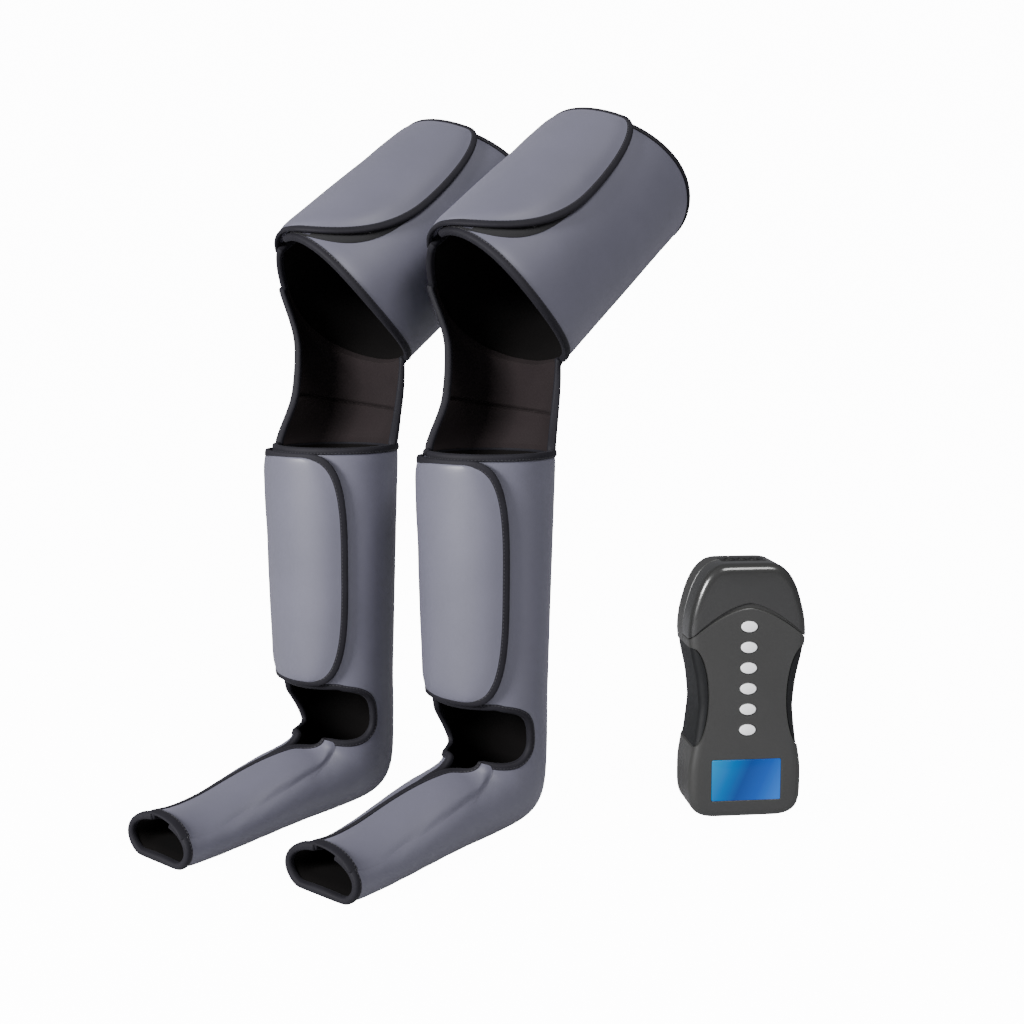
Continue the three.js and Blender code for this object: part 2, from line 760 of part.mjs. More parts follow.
function casingParts() {
  const outline = outlinePoints();
  const outer = upright(outline, frontFace, -frontFace, controllerRound);
  const innerRound = controllerRound - controllerWall;
  const cavity = upright(outline, innerFront, innerBack, innerRound, controllerWall);
  const shell = outer.subtract(cavity);
  const half = controllerDepth / 2 + overrun;
  const middle = controllerHeight / 2;
  const slab = (y) => block(0, y, middle, 4 * controllerHalfWidth, half, controllerHeight + overrun);
  const frontHalf = slab(-half / 2 - clearance / 2);
  const rearHalf = slab(half / 2 + clearance / 2);
  const gripPoints = (gap) => (side) =>
    ellipseOutline(
      side * (gripReach + gripHalfWidth),
      gripCentreHeight,
      gripHalfWidth + gap,
      gripHalfHeight + gap,
      gripSides,
    );
  const gripRods = [-1, 1].map((side) => rodThrough(gripPoints(clearance)(side)));
  const grips = [-1, 1].map((side) => shell.intersect(rodThrough(gripPoints(0)(side))));
  let body = shell;
  for (const rod of gripRods) body = body.subtract(rod);
  const seat = 2 * clearance;
  const socketRoom = [socketWidth + seat, socketDepth + seat, 2 * socketHeight];
  body = body.subtract(block(0, 0, controllerHeight, ...socketRoom));
  return { front: body.intersect(frontHalf), rear: body.intersect(rearHalf), grips };
}

function post(x, z) {
  const round = ellipseOutline(x, z, postRadius, postRadius, postSides);
  return upright(round, innerFront - controllerWall / 2, matBack);
}

const matFront = innerFront + clearance + buttonFlangeDepth + buttonTravel + clearance;
const matBack = matFront + matThickness;
const boardFront = matBack + clearance;
const boardLow = buttonBottom - boardMargin;
const boardHigh = buttonTop + boardMargin / 2;

function frontPieces(group, front) {
  const far = controllerHeight + overrun;
  const side = controllerHalfWidth + overrun / 2;
  const above = [new THREE.Vector2(side, far), new THREE.Vector2(-side, far)];
  const below = [new THREE.Vector2(side, -overrun), new THREE.Vector2(-side, -overrun)];
  const visorRegion = rodThrough([...grooveLine(1), ...above]);
  const casingRegion = rodThrough([...grooveLine(-1), ...below]);
  let casing = front.intersect(casingRegion);
  for (const z of buttonHeights) {
    const halves = [buttonHalfWidth + clearance, buttonHalfHeight + clearance];
    const hole = rodThrough(ellipseOutline(0, z, ...halves, buttonSides));
    casing = casing.subtract(hole.intersect(block(0, frontFace, z, far, controllerDepth, far)));
  }
  const seat = 2 * clearance;
  const windowRoom = [displayWidth + seat, controllerDepth / 2, displayHeight + seat];
  casing = casing.subtract(block(0, frontFace, displayCentre, ...windowRoom));
  for (const x of [-1, 1]) {
    for (const z of [boardLow + postInset, boardHigh - postInset]) {
      casing = casing.add(post(x * (boardHalfWidth - postInset), z));
    }
  }
  piece(group, "front_casing", geometryOf(casing), casingPlastic);
  piece(group, "top_visor", geometryOf(front.intersect(visorRegion)), visorPlastic);
}

function displayPieces(group) {
  const window = block(
    0,
    (frontFace + innerFront) / 2,
    displayCentre,
    displayWidth,
    controllerWall,
    displayHeight,
  );
  piece(group, "display_window", geometryOf(window), displayGlass);
  const moduleMiddle = innerFront + clearance + displayModuleDepth / 2;
  const margin = 2 * displayModuleMargin;
  const panel = block(
    0,
    moduleMiddle,
    displayCentre,
    displayWidth + margin,
    displayModuleDepth,
    displayHeight + margin,
  );
  piece(group, "display_module", geometryOf(panel), boardLaminate);
}

// A button: an oval cap with a low dome, and a flange that the casing holds it by.
function buttonGeometry() {
  const flangeFace = 0;
  const neck = buttonFlangeDepth;
  const shoulder = buttonFlangeDepth + clearance + controllerWall + buttonProud - buttonDome;
  const profile = [
    [0, flangeFace],
    [buttonHalfWidth + buttonFlange, flangeFace],
    [buttonHalfWidth + buttonFlange, neck],
    [buttonHalfWidth, neck],
    [buttonHalfWidth, shoulder],
    [buttonHalfWidth - buttonDome, shoulder + buttonDome / 2],
    [0, shoulder + buttonDome],
  ].map(([x, y]) => new THREE.Vector2(x, y));
  const geometry = new THREE.LatheGeometry(profile, buttonSides);
  geometry.rotateX(Math.PI);
  geometry.scale(1, 1, buttonHalfHeight / buttonHalfWidth);
  geometry.translate(0, innerFront + clearance + buttonFlangeDepth, 0);
  return geometryOf(solid(geometry));
}

function keypadPieces(group) {
  buttonHeights.forEach((z, i) => {
    const cap = piece(group, `button_${i + 1}`, buttonGeometry(), buttonPlastic);
    cap.position.z = z;
  });
  const matLow = buttonBottom - buttonHalfHeight - matMargin;
  const matHigh = buttonTop + buttonHalfHeight + matMargin;
  const mat = block(
    0,
    (matFront + matBack) / 2,
    (matLow + matHigh) / 2,
    2 * (buttonHalfWidth + matMargin),
    matThickness,
    matHigh - matLow,
  );
  piece(group, "keypad_mat", geometryOf(mat), siliconeRubber);
  const board = block(
    0,
    boardFront + boardThickness / 2,
    (boardLow + boardHigh) / 2,
    2 * boardHalfWidth,
    boardThickness,
    boardHigh - boardLow,
  );
  piece(group, "circuit_board", geometryOf(board), boardLaminate);
}

function airPieces(group) {
  const profile = [
    [0, 0],
    [motorRadius, 0],
    [motorRadius, motorLength],
    [pumpRadius, motorLength],
    [pumpRadius, motorLength + pumpHeadLength],
    [0, motorLength + pumpHeadLength],
  ].map(([x, y]) => new THREE.Vector2(x, y));
  const pump = new THREE.LatheGeometry(profile, pumpSides);
  pump.rotateX(Math.PI / 2);
  pump.translate(0, innerBack - clearance - pumpRadius, pumpBase);
  piece(group, "air_pump", geometryOf(solid(pump)), pumpMetal);
  const valveMiddle = innerBack - clearance - valveDepth / 2;
  const valves = block(0, valveMiddle, valveBase + valveHeight / 2, valveWidth, valveDepth, valveHeight);
  piece(group, "valve_block", geometryOf(valves), socketPlastic);
  const socketMiddle = controllerHeight - socketHeight / 2;
  let sockets = block(0, 0, socketMiddle, socketWidth, socketDepth, socketHeight);
  const bores = [
    [-hoseBoreSpacing, hoseBoreRadius],
    [hoseBoreSpacing, hoseBoreRadius],
    [0, powerBoreRadius],
  ];
  for (const [x, radius] of bores) {
    const bore = new THREE.CylinderGeometry(radius, radius, 2 * hoseBoreDepth, postSides);
    bore.rotateX(Math.PI / 2);
    bore.translate(x, 0, controllerHeight);
    sockets = sockets.subtract(solid(bore));
  }
  piece(group, "hose_sockets", geometryOf(sockets), socketPlastic);
}

function controller() {
  const group = new THREE.Group();
  const { front, rear, grips } = casingParts();
  frontPieces(group, front);
  piece(group, "rear_casing", geometryOf(rear), casingPlastic);
  piece(group, "left_grip", geometryOf(grips[0]), gripRubber);
  piece(group, "right_grip", geometryOf(grips[1]), gripRubber);
  displayPieces(group);
  keypadPieces(group);
  airPieces(group);
  group.rotation.z = rad(controllerTurnAngle);
  group.position.set(controllerX, controllerY, 0);
  return group;
}

const massager = new THREE.Group();
massager.add(leg("right", 0, 0), leg("left", -legSpacing, -legStagger), controller());

export default massager;
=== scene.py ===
"""Looks of an air compression leg massager: two boot-shaped air wraps with thigh cuffs, and
the hand controller that inflates them.

Shapes are worked out in millimetres, each in its own sub-assembly's frame, and are turned to
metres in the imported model's frame when their mesh is made.
"""

import logging
import math
from dataclasses import dataclass, field
from enum import Enum, Flag, auto
from functools import cached_property
from typing import Callable, Sequence

import bmesh
import bpy
import numpy as np
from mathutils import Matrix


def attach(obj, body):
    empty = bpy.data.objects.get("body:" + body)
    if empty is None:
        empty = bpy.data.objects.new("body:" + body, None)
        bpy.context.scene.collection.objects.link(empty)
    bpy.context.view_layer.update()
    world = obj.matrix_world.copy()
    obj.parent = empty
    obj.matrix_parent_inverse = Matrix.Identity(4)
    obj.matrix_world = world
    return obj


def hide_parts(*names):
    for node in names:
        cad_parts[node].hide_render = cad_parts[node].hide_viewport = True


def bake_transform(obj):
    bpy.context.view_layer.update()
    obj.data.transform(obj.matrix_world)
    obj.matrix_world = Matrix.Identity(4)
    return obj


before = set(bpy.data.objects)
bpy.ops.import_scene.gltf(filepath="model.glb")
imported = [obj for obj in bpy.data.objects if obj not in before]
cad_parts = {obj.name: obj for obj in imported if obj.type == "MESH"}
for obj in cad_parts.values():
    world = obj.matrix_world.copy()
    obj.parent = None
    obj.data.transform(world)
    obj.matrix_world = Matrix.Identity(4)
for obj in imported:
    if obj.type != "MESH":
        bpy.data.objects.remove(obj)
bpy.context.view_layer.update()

log = logging.getLogger("massager")
Array = np.ndarray
Pair = tuple[float, float]
Object = bpy.types.Object
Material = bpy.types.Material
Surface = Callable[[Array, Array, Array], Array]
MM = 0.001
SINES = 6
SHARP_ANGLE = 38.0
CARVED_SHARP_ANGLE = 28.0


# arithmetic


def unit(vectors: Array) -> Array:
    """Each vector over its own length."""
    return vectors / np.maximum(np.linalg.norm(vectors, axis=-1, keepdims=True), 1e-12)


def blend_between(a: Array, b: Array, share: Array) -> Array:
    """a at share 0, b at share 1, straight between."""
    return a + (b - a) * share


def ease(value: Array) -> Array:
    """Smooth step: 3t^2 - 2t^3 of the value held between 0 and 1."""
    t = np.clip(value, 0, 1)
    return t * t * (3 - 2 * t)


def smoothed(values: Array, spread: float) -> Array:
    """Rounds the kinks of a table: a Gaussian mean along it, its ends mirrored through themselves.

    Args:
        values: table of rows, one per equal step.
        spread: standard deviation of the mean, in steps.

    Returns:
        A table of the same shape, unchanged at both ends.
    """
    reach = int(4 * spread)
    weights = np.exp(-0.5 * (np.arange(-reach, reach + 1) / spread) ** 2)
    weights /= weights.sum()
    low = 2 * values[:1] - values[reach:0:-1]
    high = 2 * values[-1:] - values[-2 : -reach - 2 : -1]
    padded = np.concatenate([low, values, high])
    return np.stack([np.convolve(column, weights, "valid") for column in padded.T], -1)


def slow_waves(u: Array, v: Array, length: float, seed: int) -> Array:
    """Unevenness of a soft skin: a mean of sines, each with its own length, heading and start.

    Args:
        u: distance or angle across, in mm or degrees.
        v: distance along, in mm.
        length: mean wave length, in the same measure.
        seed: which set of sines.

    Returns:
        Heights from -1 to 1.
    """
    pick = np.random.default_rng(seed)
    total = np.zeros(np.broadcast(u, v).shape)
    for _ in range(SINES):
        turn, start = pick.uniform(0, 2 * math.pi, 2)
        k = 2 * math.pi / (length * pick.uniform(0.6, 1.5))
        total = total + np.sin(k * (u * math.cos(turn) + v * math.sin(turn)) + start)
    return total / SINES


def beside(*parts: Array | float) -> Array:
    """Values side by side as a new last axis, spread to one shape."""
    return np.stack(np.broadcast_arrays(*parts), -1)


def steps(grid: Array, axis: int = 0) -> Array:
    """Length of each step along one axis of a grid or line of points."""
    return np.linalg.norm(np.diff(grid, axis=axis), axis=-1)


def even_to_ends(count: int) -> Array:
    """Shares from 0 to 1 that lie closer at both ends: half a cosine wave."""
    return (1 - np.cos(np.linspace(0, math.pi, count))) / 2


def bell(distance: Array, reach: float) -> Array:
    """A Gaussian: 1 at no distance, 1/e at the reach."""
    return np.exp(-((distance / reach) ** 2))


# meshes


@dataclass
class Shape:
    """A mesh in the making.

    Attributes:
        points: places in mm, one row each.
        quads: faces of four corners, as rows of point numbers.
        uv: for each corner of each quad, its place on the unrolled surface in metres.
        caps: flat faces that close an end, each an array of point numbers.
    """

    points: Array
    quads: Array
    uv: Array
    caps: list[Array] = field(default_factory=list)

    def __add__(self, other: "Shape") -> "Shape":
        """Both shapes as one mesh.

        Args:
            other: the shape whose points come after this one's.

        Returns:
            A shape with the points, faces and caps of both.
        """
        shift = len(self.points)
        return Shape(
            np.vstack([self.points, other.points]),
            np.vstack([self.quads, other.quads + shift]),
            np.vstack([self.uv, other.uv]),
            self.caps + [cap + shift for cap in other.caps],
        )


def running(grid: Array, axis: int, wrap: bool) -> Array:
    """Running length along one axis of a grid: its steps' lengths added up, as a mean.

    Args:
        grid: points in mm, in rows and columns.
        axis: 0 down the rows, 1 across the columns.
        wrap: whether the last line joins the first.

    Returns:
        The length at each line in metres, the mean over the other axis.
    """
    if wrap:
        grid = np.concatenate([grid, np.take(grid, [0], axis)], axis)
    mean = steps(grid, axis).mean(axis=1 - axis)
    return np.concatenate([[0.0], np.cumsum(mean)]) * MM


def skin(grid: Array, wrap_rows: bool = False, wrap_columns: bool = False) -> Shape:
    """Quads over a grid of points, each between two rows and two columns.

    Args:
        grid: points in mm, in rows and columns.
        wrap_rows: whether the last row joins the first.
        wrap_columns: whether the last column joins the first.

    Returns:
        The open or wrapped surface.
    """
    rows, columns = grid.shape[:2]
    r = np.arange(rows if wrap_rows else rows - 1)
    c = np.arange(columns if wrap_columns else columns - 1)
    rr, cc = np.meshgrid(r, c, indexing="ij")
    at_row = np.stack([rr, rr, rr + 1, rr + 1], -1).reshape(-1, 4)
    at_column = np.stack([cc, cc + 1, cc + 1, cc], -1).reshape(-1, 4)
    u = running(grid, 1, wrap_columns)
    v = running(grid, 0, wrap_rows)
    quads = (at_row % rows) * columns + at_column % columns
    return Shape(grid.reshape(-1, 3), quads, np.stack([u[at_column], v[at_row]], -1))


def closed_sheet(outer: Array, inner: Array) -> Shape:
    """A sheet with two faces and a strip of quads round its border.

    Args:
        outer: grid of points of one face.
        inner: the same of the other.

    Returns:
        A closed shape.
    """
    rows, columns = outer.shape[:2]
    index = np.arange(rows * columns).reshape(rows, columns)
    border = np.concatenate(
        [index[0, :-1], index[:-1, -1], index[-1, :0:-1], index[:0:-1, 0]]
    )
    after = np.roll(border, -1)
    count = rows * columns
    strip = np.stack([after, border, border + count, after + count], -1)
    u = np.tile(running(outer, 1, False), rows)
    v = np.repeat(running(outer, 0, False), columns)
    at = np.stack([u, v], -1)
    strip_uv = at[np.stack([after, border, border, after], -1)]
    shape = skin(outer) + skin(inner)
    return Shape(shape.points, np.vstack([shape.quads, strip]), np.vstack([shape.uv, strip_uv]))


def lathe(profile: Sequence[Pair], sides: int) -> Shape:
    """Turns a closed profile about the Y axis: radius times cosine and sine of equal steps.

    Args:
        profile: rows of (radius, distance along +Y) in mm.
        sides: steps of the turn.

    Returns:
        A closed shape.
    """
    turn = np.linspace(0, 2 * math.pi, sides, endpoint=False)[:, None]
    radius, along = np.array(profile).T
    grid = beside(radius * np.cos(turn), along, radius * np.sin(turn))
    return skin(grid, wrap_rows=True, wrap_columns=True)


def tower(rings: Sequence[Array]) -> Shape:
    """Lofts closed rings of as many points each into a solid with two caps.

    Args:
        rings: places in mm, from one end to the other.

    Returns:
        A closed shape.
    """
    grid = np.stack(rings)
    shape = skin(grid, wrap_columns=True)
    count = grid.shape[1]
    shape.caps = [np.arange(count)[::-1], np.arange(count) + (len(grid) - 1) * count]
    return shape


@dataclass(frozen=True)
class Place:
    """Where a sub-assembly stands: its origin in mm, and its turn about +Z in degrees."""

    origin: tuple[float, float, float]
    turn: float = 0.0

    def metres(self, points: Array) -> Array:
        """Points of the sub-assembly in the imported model's frame, in metres."""
        c, s = math.cos(math.radians(self.turn)), math.sin(math.radians(self.turn))
        rotation = np.array([[c, -s, 0], [s, c, 0], [0, 0, 1]])
        return (points @ rotation.T + np.array(self.origin)) * MM


def link(name: str, data: bpy.types.ID) -> Object:
    """A new object in the scene."""
    made = bpy.data.objects.new(name, data)
    bpy.context.scene.collection.objects.link(made)
    return made


def places_of(mesh: bpy.types.Mesh) -> Array:
    """Places of a mesh's points, in metres."""
    places = np.empty(3 * len(mesh.vertices))
    mesh.vertices.foreach_get("co", places)
    return places.reshape(-1, 3)


def add_mesh(name: str, shape: Shape, place: Place, material: Material) -> Object:
    """Makes the mesh object of a shape, with its faces turned outwards and shaded smooth.

    Args:
        name: the piece's name.
        shape: what it is made of.
        place: where its sub-assembly stands.
        material: its finish.

    Returns:
        The new object, at the origin, with its place in its mesh.
    """
    mesh = bpy.data.meshes.new(name)
    faces = shape.quads.tolist() + [cap.tolist() for cap in shape.caps]
    mesh.from_pydata(place.metres(shape.points), [], faces)
    layer = mesh.uv_layers.new(name="unrolled")
    corners = np.zeros((len(mesh.loops), 2), np.float32)
    flat = shape.uv.reshape(-1, 2)
    corners[: len(flat)] = flat
    layer.data.foreach_set("uv", corners.ravel())
    work = bmesh.new()
    work.from_mesh(mesh)
    bmesh.ops.remove_doubles(work, verts=work.verts, dist=1e-7)
    bmesh.ops.recalc_face_normals(work, faces=work.faces)
    work.to_mesh(mesh)
    work.free()
    mesh.shade_smooth()
    mesh.set_sharp_from_angle(angle=math.radians(SHARP_ANGLE))
    mesh.materials.append(material)
    return link(name, mesh)


def dress(piece: Object, body: str, slot: str, node: str = "") -> Object:
    """Attaches a piece to the body that it rides on and hides the CAD node that it stands for.

    Args:
        piece: the mesh object.
        body: name of the body, or root.
        slot: not used.
        node: name of the CAD node, or nothing for a piece that stands for none.

    Returns:
        The same object.
    """
    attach(piece, body)
    if node:
        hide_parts(node)
    log.info("%s: %d points on %s", piece.name, len(piece.data.vertices), body)
    return piece


# finishes


def linear(code: str) -> tuple[float, float, float, float]:
    """An sRGB hex colour as linear light."""
    channels = np.array([int(code[i : i + 2], 16) for i in (1, 3, 5)]) / 255
    low, high = channels / 12.92, ((channels + 0.055) / 1.055) ** 2.4
    return (*np.where(channels <= 0.04045, low, high).tolist(), 1.0)


class Tree:
    """The node tree of one material."""

    def __init__(self, name: str) -> None:
        """Starts an empty tree with its output.

        Args:
            name: the material's name.
        """
        self.material = bpy.data.materials.new(name)
        self.material.use_nodes = True
        self.tree = self.material.node_tree
        self.tree.nodes.clear()
        self.output = self.add("OutputMaterial")

    def add(self, kind: str, inputs: dict | None = None, **settings: object) -> bpy.types.Node:
        """Adds one node.

        Args:
            kind: the node's type, without the word ShaderNode before it.
            inputs: socket name or number to a value, or to the socket that feeds it.
            **settings: the node's own properties.

        Returns:
            The node.
        """
        node = self.tree.nodes.new("ShaderNode" + kind)
        for key, value in settings.items():
            setattr(node, key, value)
        for key, value in (inputs or {}).items():
            if isinstance(value, bpy.types.NodeSocket):
                self.tree.links.new(value, node.inputs[key])
            else:
                node.inputs[key].default_value = value
        return node

    def finish(self, surface: bpy.types.Node) -> Material:
        """Links the shader to the output and gives the material."""
        self.tree.links.new(surface.outputs[0], self.output.inputs["Surface"])
        return self.material


@dataclass(frozen=True)
class Made:
    """What every finish has.

    Attributes:
        name: the real material and how its surface was made.
        slot: the record's slot that it fills, or nothing inside the controller.
    """

    name: str
    slot: str

    def make(self) -> Material:
        """Builds the material."""
        raise NotImplementedError

    @cached_property
    def material(self) -> Material:
        """The material, built once."""
        return self.make()


@dataclass(frozen=True)
class Finish(Made):
    """A finish with two close tones, a fine pattern in relief and a roughness that varies.

    Attributes:
        dark: deeper tone, sRGB hex.
        light: lighter tone, sRGB hex.
        patch: size of the patches in which the tone varies, in mm.
        rough: roughness, lowest and highest.
        sheen: weight of the soft rim light of fibres.
        metallic: 1 for bare metal.
        ior: index of refraction.
        coat: weight of a clear glossy layer.
        sheen_tint: colour of the rim light, sRGB hex.
    """

    dark: str
    light: str
    patch: float = 60.0
    rough: Pair = (0.45, 0.6)
    sheen: float = 0.0
    sheen_tint: str = "#ffffff"
    metallic: float = 0.0
    ior: float = 1.5
    coat: float = 0.0

    def relief(self, tree: Tree, spot: bpy.types.Node) -> bpy.types.NodeSocket | None:
        """The normal that the fine pattern gives, or None for a plain surface."""
        return None

    def make(self) -> Material:
        """Builds the material: noise in Object coordinates drives its tone and roughness.

        Returns:
            The material.
        """
        tree = Tree(self.name)
        spot = tree.add("TexCoord")
        patch = tree.add(
            "TexNoise",
            {"Vector": spot.outputs["Object"], "Scale": 1 / (self.patch * MM), "Detail": 3.0},
        )
        tone = tree.add("Mix", {"Factor": patch.outputs["Fac"]}, data_type="RGBA")
        tone.inputs[6].default_value = linear(self.dark)
        tone.inputs[7].default_value = linear(self.light)
        rough = tree.add(
            "MapRange",
            {"Value": patch.outputs["Fac"], "To Min": self.rough[0], "To Max": self.rough[1]},
        )
        surface = tree.add(
            "BsdfPrincipled",
            {
                "Base Color": tone.outputs[2],
                "Roughness": rough.outputs["Result"],
                "Metallic": self.metallic,
                "Sheen Weight": self.sheen,
                "Sheen Roughness": 0.45,
                "Sheen Tint": linear(self.sheen_tint),
                "Coat Weight": self.coat,
                "Coat Roughness": 0.08,
            },
        )
        if not self.metallic:
            surface.inputs["IOR"].default_value = self.ior
        normal = self.relief(tree, spot)
        if normal is not None:
            tree.tree.links.new(normal, surface.inputs["Normal"])
        return tree.finish(surface)


@dataclass(frozen=True)
class Woven(Finish):
    """Cloth: two sets of threads that cross, as waves over the unrolled surface.

    Attributes:
        thread: distance between threads, in mm.
        depth: height of the threads, in mm.
        ribs: only the threads across the piece, as in a ribbed tape.
    """

    thread: float = 1.3
    depth: float = 0.05
    ribs: bool = False

    def relief(self, tree: Tree, spot: bpy.types.Node) -> bpy.types.NodeSocket:
        """Waves along both directions of the UV map, multiplied and put in relief.

        Args:
            tree: the material's nodes.
            spot: the coordinates, of which the waves follow the UV map.

        Returns:
            The normal.
        """
        # the wave texture has 20 / (2 pi) bands per unit at scale 1
        turns = 2 * math.pi / (20 * self.thread * MM)
        waves = [
            tree.add(
                "TexWave",
                {"Vector": spot.outputs["UV"], "Scale": turns, "Distortion": 0.3},
                bands_direction=direction,
            )
            for direction in (("Y",) if self.ribs else ("X", "Y"))
        ]
        height = waves[0].outputs["Fac"]
        if len(waves) > 1:
            height = tree.add(
                "Math",
                {0: waves[0].outputs["Fac"], 1: waves[1].outputs["Fac"]},
                operation="MULTIPLY",
            ).outputs[0]
        bump = tree.add(
            "Bump", {"Height": height, "Distance": self.depth * MM, "Strength": 0.5}
        )
        return bump.outputs["Normal"]


@dataclass(frozen=True)
class Grained(Finish):
    """A moulded, brushed or cast surface: fine random grain in relief.

    Attributes:
        grain: size of the grain, in mm.
        depth: height of the grain, in mm.
    """

    grain: float = 0.8
    depth: float = 0.03

    def relief(self, tree: Tree, spot: bpy.types.Node) -> bpy.types.NodeSocket:
        """Noise at the grain's size, put in relief.

        Args:
            tree: the material's nodes.
            spot: the coordinates, of which the grain follows the object's.

        Returns:
            The normal.
        """
        noise = tree.add(
            "TexNoise",
            {"Vector": spot.outputs["Object"], "Scale": 1 / (self.grain * MM), "Detail": 2.0},
        )
        bump = tree.add(
            "Bump",
            {"Height": noise.outputs["Fac"], "Distance": self.depth * MM, "Strength": 0.6},
        )
        return bump.outputs["Normal"]


@dataclass(frozen=True)
class Lit(Made):
    """A lit liquid-crystal display behind glass: a glow that runs between colours over its face.

    Attributes:
        colours: sRGB hex colours from the upper left corner to the lower right one.
        glow: strength of the light.
        across: how far the colours run from side to side, as a share of them all.
        down: the same from top to bottom.
    """

    colours: tuple[str, ...]
    glow: float = 1.0
    across: float = 0.85
    down: float = 0.22

    def make(self) -> Material:
        """Builds the material: a ramp over the UV map's diagonal feeds the emission.

        Returns:
            The material.
        """
        tree = Tree(self.name)
        spot = tree.add("TexCoord")
        parts = tree.add("SeparateXYZ", {0: spot.outputs["UV"]})
        down = tree.add("Math", {0: 1.0, 1: parts.outputs[1]}, operation="SUBTRACT")
        part = tree.add("Math", {0: down.outputs[0], 1: self.down}, operation="MULTIPLY")
        share = tree.add(
            "Math",
            {0: parts.outputs[0], 1: self.across, 2: part.outputs[0]},
            operation="MULTIPLY_ADD",
        )
        ramp = tree.add("ValToRGB", {"Fac": share.outputs[0]})
        marks = ramp.color_ramp.elements
        while len(marks) < len(self.colours):
            marks.new(0.5)
        for i, code in enumerate(self.colours):
            marks[i].position = i / (len(self.colours) - 1)
            marks[i].color = linear(code)
        surface = tree.add(
            "BsdfPrincipled",
            {
                "Base Color": linear("#050a14"),
                "Roughness": 0.15,
                "IOR": 1.33,
                "Emission Color": ramp.outputs["Color"],
                "Emission Strength": self.glow,
            },
        )
        return tree.finish(surface)


@dataclass(frozen=True)
class Finishes:
    """Every finish of the pair and the controller.

    The weave's pitch and the cloths' fibres are drawn coarser than real ones, so that they show.
    """

    # Nylon-faced foam cloth: even slate grey with a violet cast and a satin sheen.
    shell: Made = Woven(
        "nylon_faced_foam_woven", "shell_fabric", "#52525d", "#5c5b68", 90, (0.4, 0.5), 0.2,
        "#c9c6da", thread=1.4, depth=0.05,
    )
    # Brushed loop cloth: near black and dull, it swallows light. Its near-black tone is partly the
    # cloth's own and partly painted shade inside the sleeves, the shaded copy beside the knee's
    # lighter one.
    lining: Made = Grained(
        "loop_cloth_brushed", "lining_fabric", "#070606", "#0e0c0c", 25, (0.9, 1.0), 0.03,
        "#3a3538", ior=1.2, grain=1.6, depth=0.3,
    )
    # The same cloth behind the knee, painted a little lighter and browner: the lit copy of the
    # lining, which paints the light that reaches the knee.
    knee_lining: Made = Grained(
        "loop_cloth_worn", "lining_fabric", "#1c1718", "#272122", 25, (0.85, 1.0), 0.08,
        "#5a5256", ior=1.25, grain=1.6, depth=0.3,
    )
    # Ribbed polyester tape, folded over the edges.
    tape: Made = Woven(
        "polyester_tape_ribbed", "binding_tape", "#161519", "#1f1e24", 20, (0.6, 0.75), 0.06,
        "#8c8b96", ior=1.25, thread=1.1, depth=0.12, ribs=True,
    )
    # Spun polyester thread.
    thread: Made = Grained(
        "polyester_thread_spun", "binding_tape", "#1e1d22", "#2a292f", 6, (0.5, 0.6), 0.1,
        grain=0.3,
    )
    # Cloth coated with film, welded into cells.
    bladder: Made = Grained(
        "film_coated_cloth_welded", "bladder_film", "#a9adb4", "#c2c5ca", 30, (0.3, 0.45),
        grain=0.9,
    )
    # Nylon hooks moulded on a band.
    hooks: Made = Grained(
        "nylon_hooks_moulded", "binding_tape", "#141416", "#1f1f22", 8, (0.6, 0.8), grain=1.5,
        depth=0.7,
    )
    # Nylon loops woven on a band, near black; where the band shows past a flap's edge it is
    # painted shadow under the flap.
    loops: Made = Grained(
        "nylon_loops_woven", "binding_tape", "#0b0b0d", "#131216", 8, (0.9, 1.0), 0.05,
        grain=1.2, depth=0.5,
    )
    # ABS, moulded with a fine texture.
    casing: Made = Grained(
        "abs_moulded_fine_texture", "casing_plastic", "#2d2d2c", "#333332", 50, (0.34, 0.42),
        ior=1.52, grain=0.5, depth=0.012,
    )
    # ABS, moulded in a polished tool.
    visor: Made = Grained(
        "abs_moulded_polished", "visor_plastic", "#272727", "#2c2c2b", 60, (0.2, 0.26), ior=1.52,
        coat=0.15, grain=3.0, depth=0.005,
    )
    # Soft rubber, moulded, dull.
    grip: Made = Grained(
        "soft_rubber_moulded", "grip_rubber", "#08090b", "#0e0f11", 30, (0.5, 0.62), ior=1.4,
        grain=0.6, depth=0.03,
    )
    # ABS keys with a pearl lacquer.
    key: Made = Grained(
        "abs_pearl_lacquered", "button_plastic", "#ececee", "#fafafb", 10, (0.22, 0.3), coat=0.3,
        grain=4.0, depth=0.003,
    )
    # Lit display.
    display: Made = Lit(
        "display_glass_lit", "display_glass", ("#00a6ea", "#0080d4", "#0d4ea8", "#1560cc",
        "#3484f2"), 0.85,
    )
    # Glass-fibre board with green lacquer.
    board: Made = Grained(
        "glass_fibre_board_lacquered", "", "#123f27", "#1c5a39", 12, (0.3, 0.45), grain=1.0,
    )
    # Silicone rubber, moulded.
    silicone: Made = Grained(
        "silicone_rubber_moulded", "", "#85858a", "#96969b", 20, (0.7, 0.8), grain=0.7,
    )
    # Aluminium, cast.
    pump: Made = Grained(
        "aluminium_cast", "pump_metal", "#8f9295", "#b0b3b5", 12, (0.35, 0.5), metallic=1.0,
        grain=0.6, depth=0.05,
    )
    # Nylon, moulded.
    socket: Made = Grained(
        "nylon_moulded", "socket_plastic", "#0f0f10", "#191919", 15, (0.4, 0.5), grain=0.5,
    )


# lines and tapes


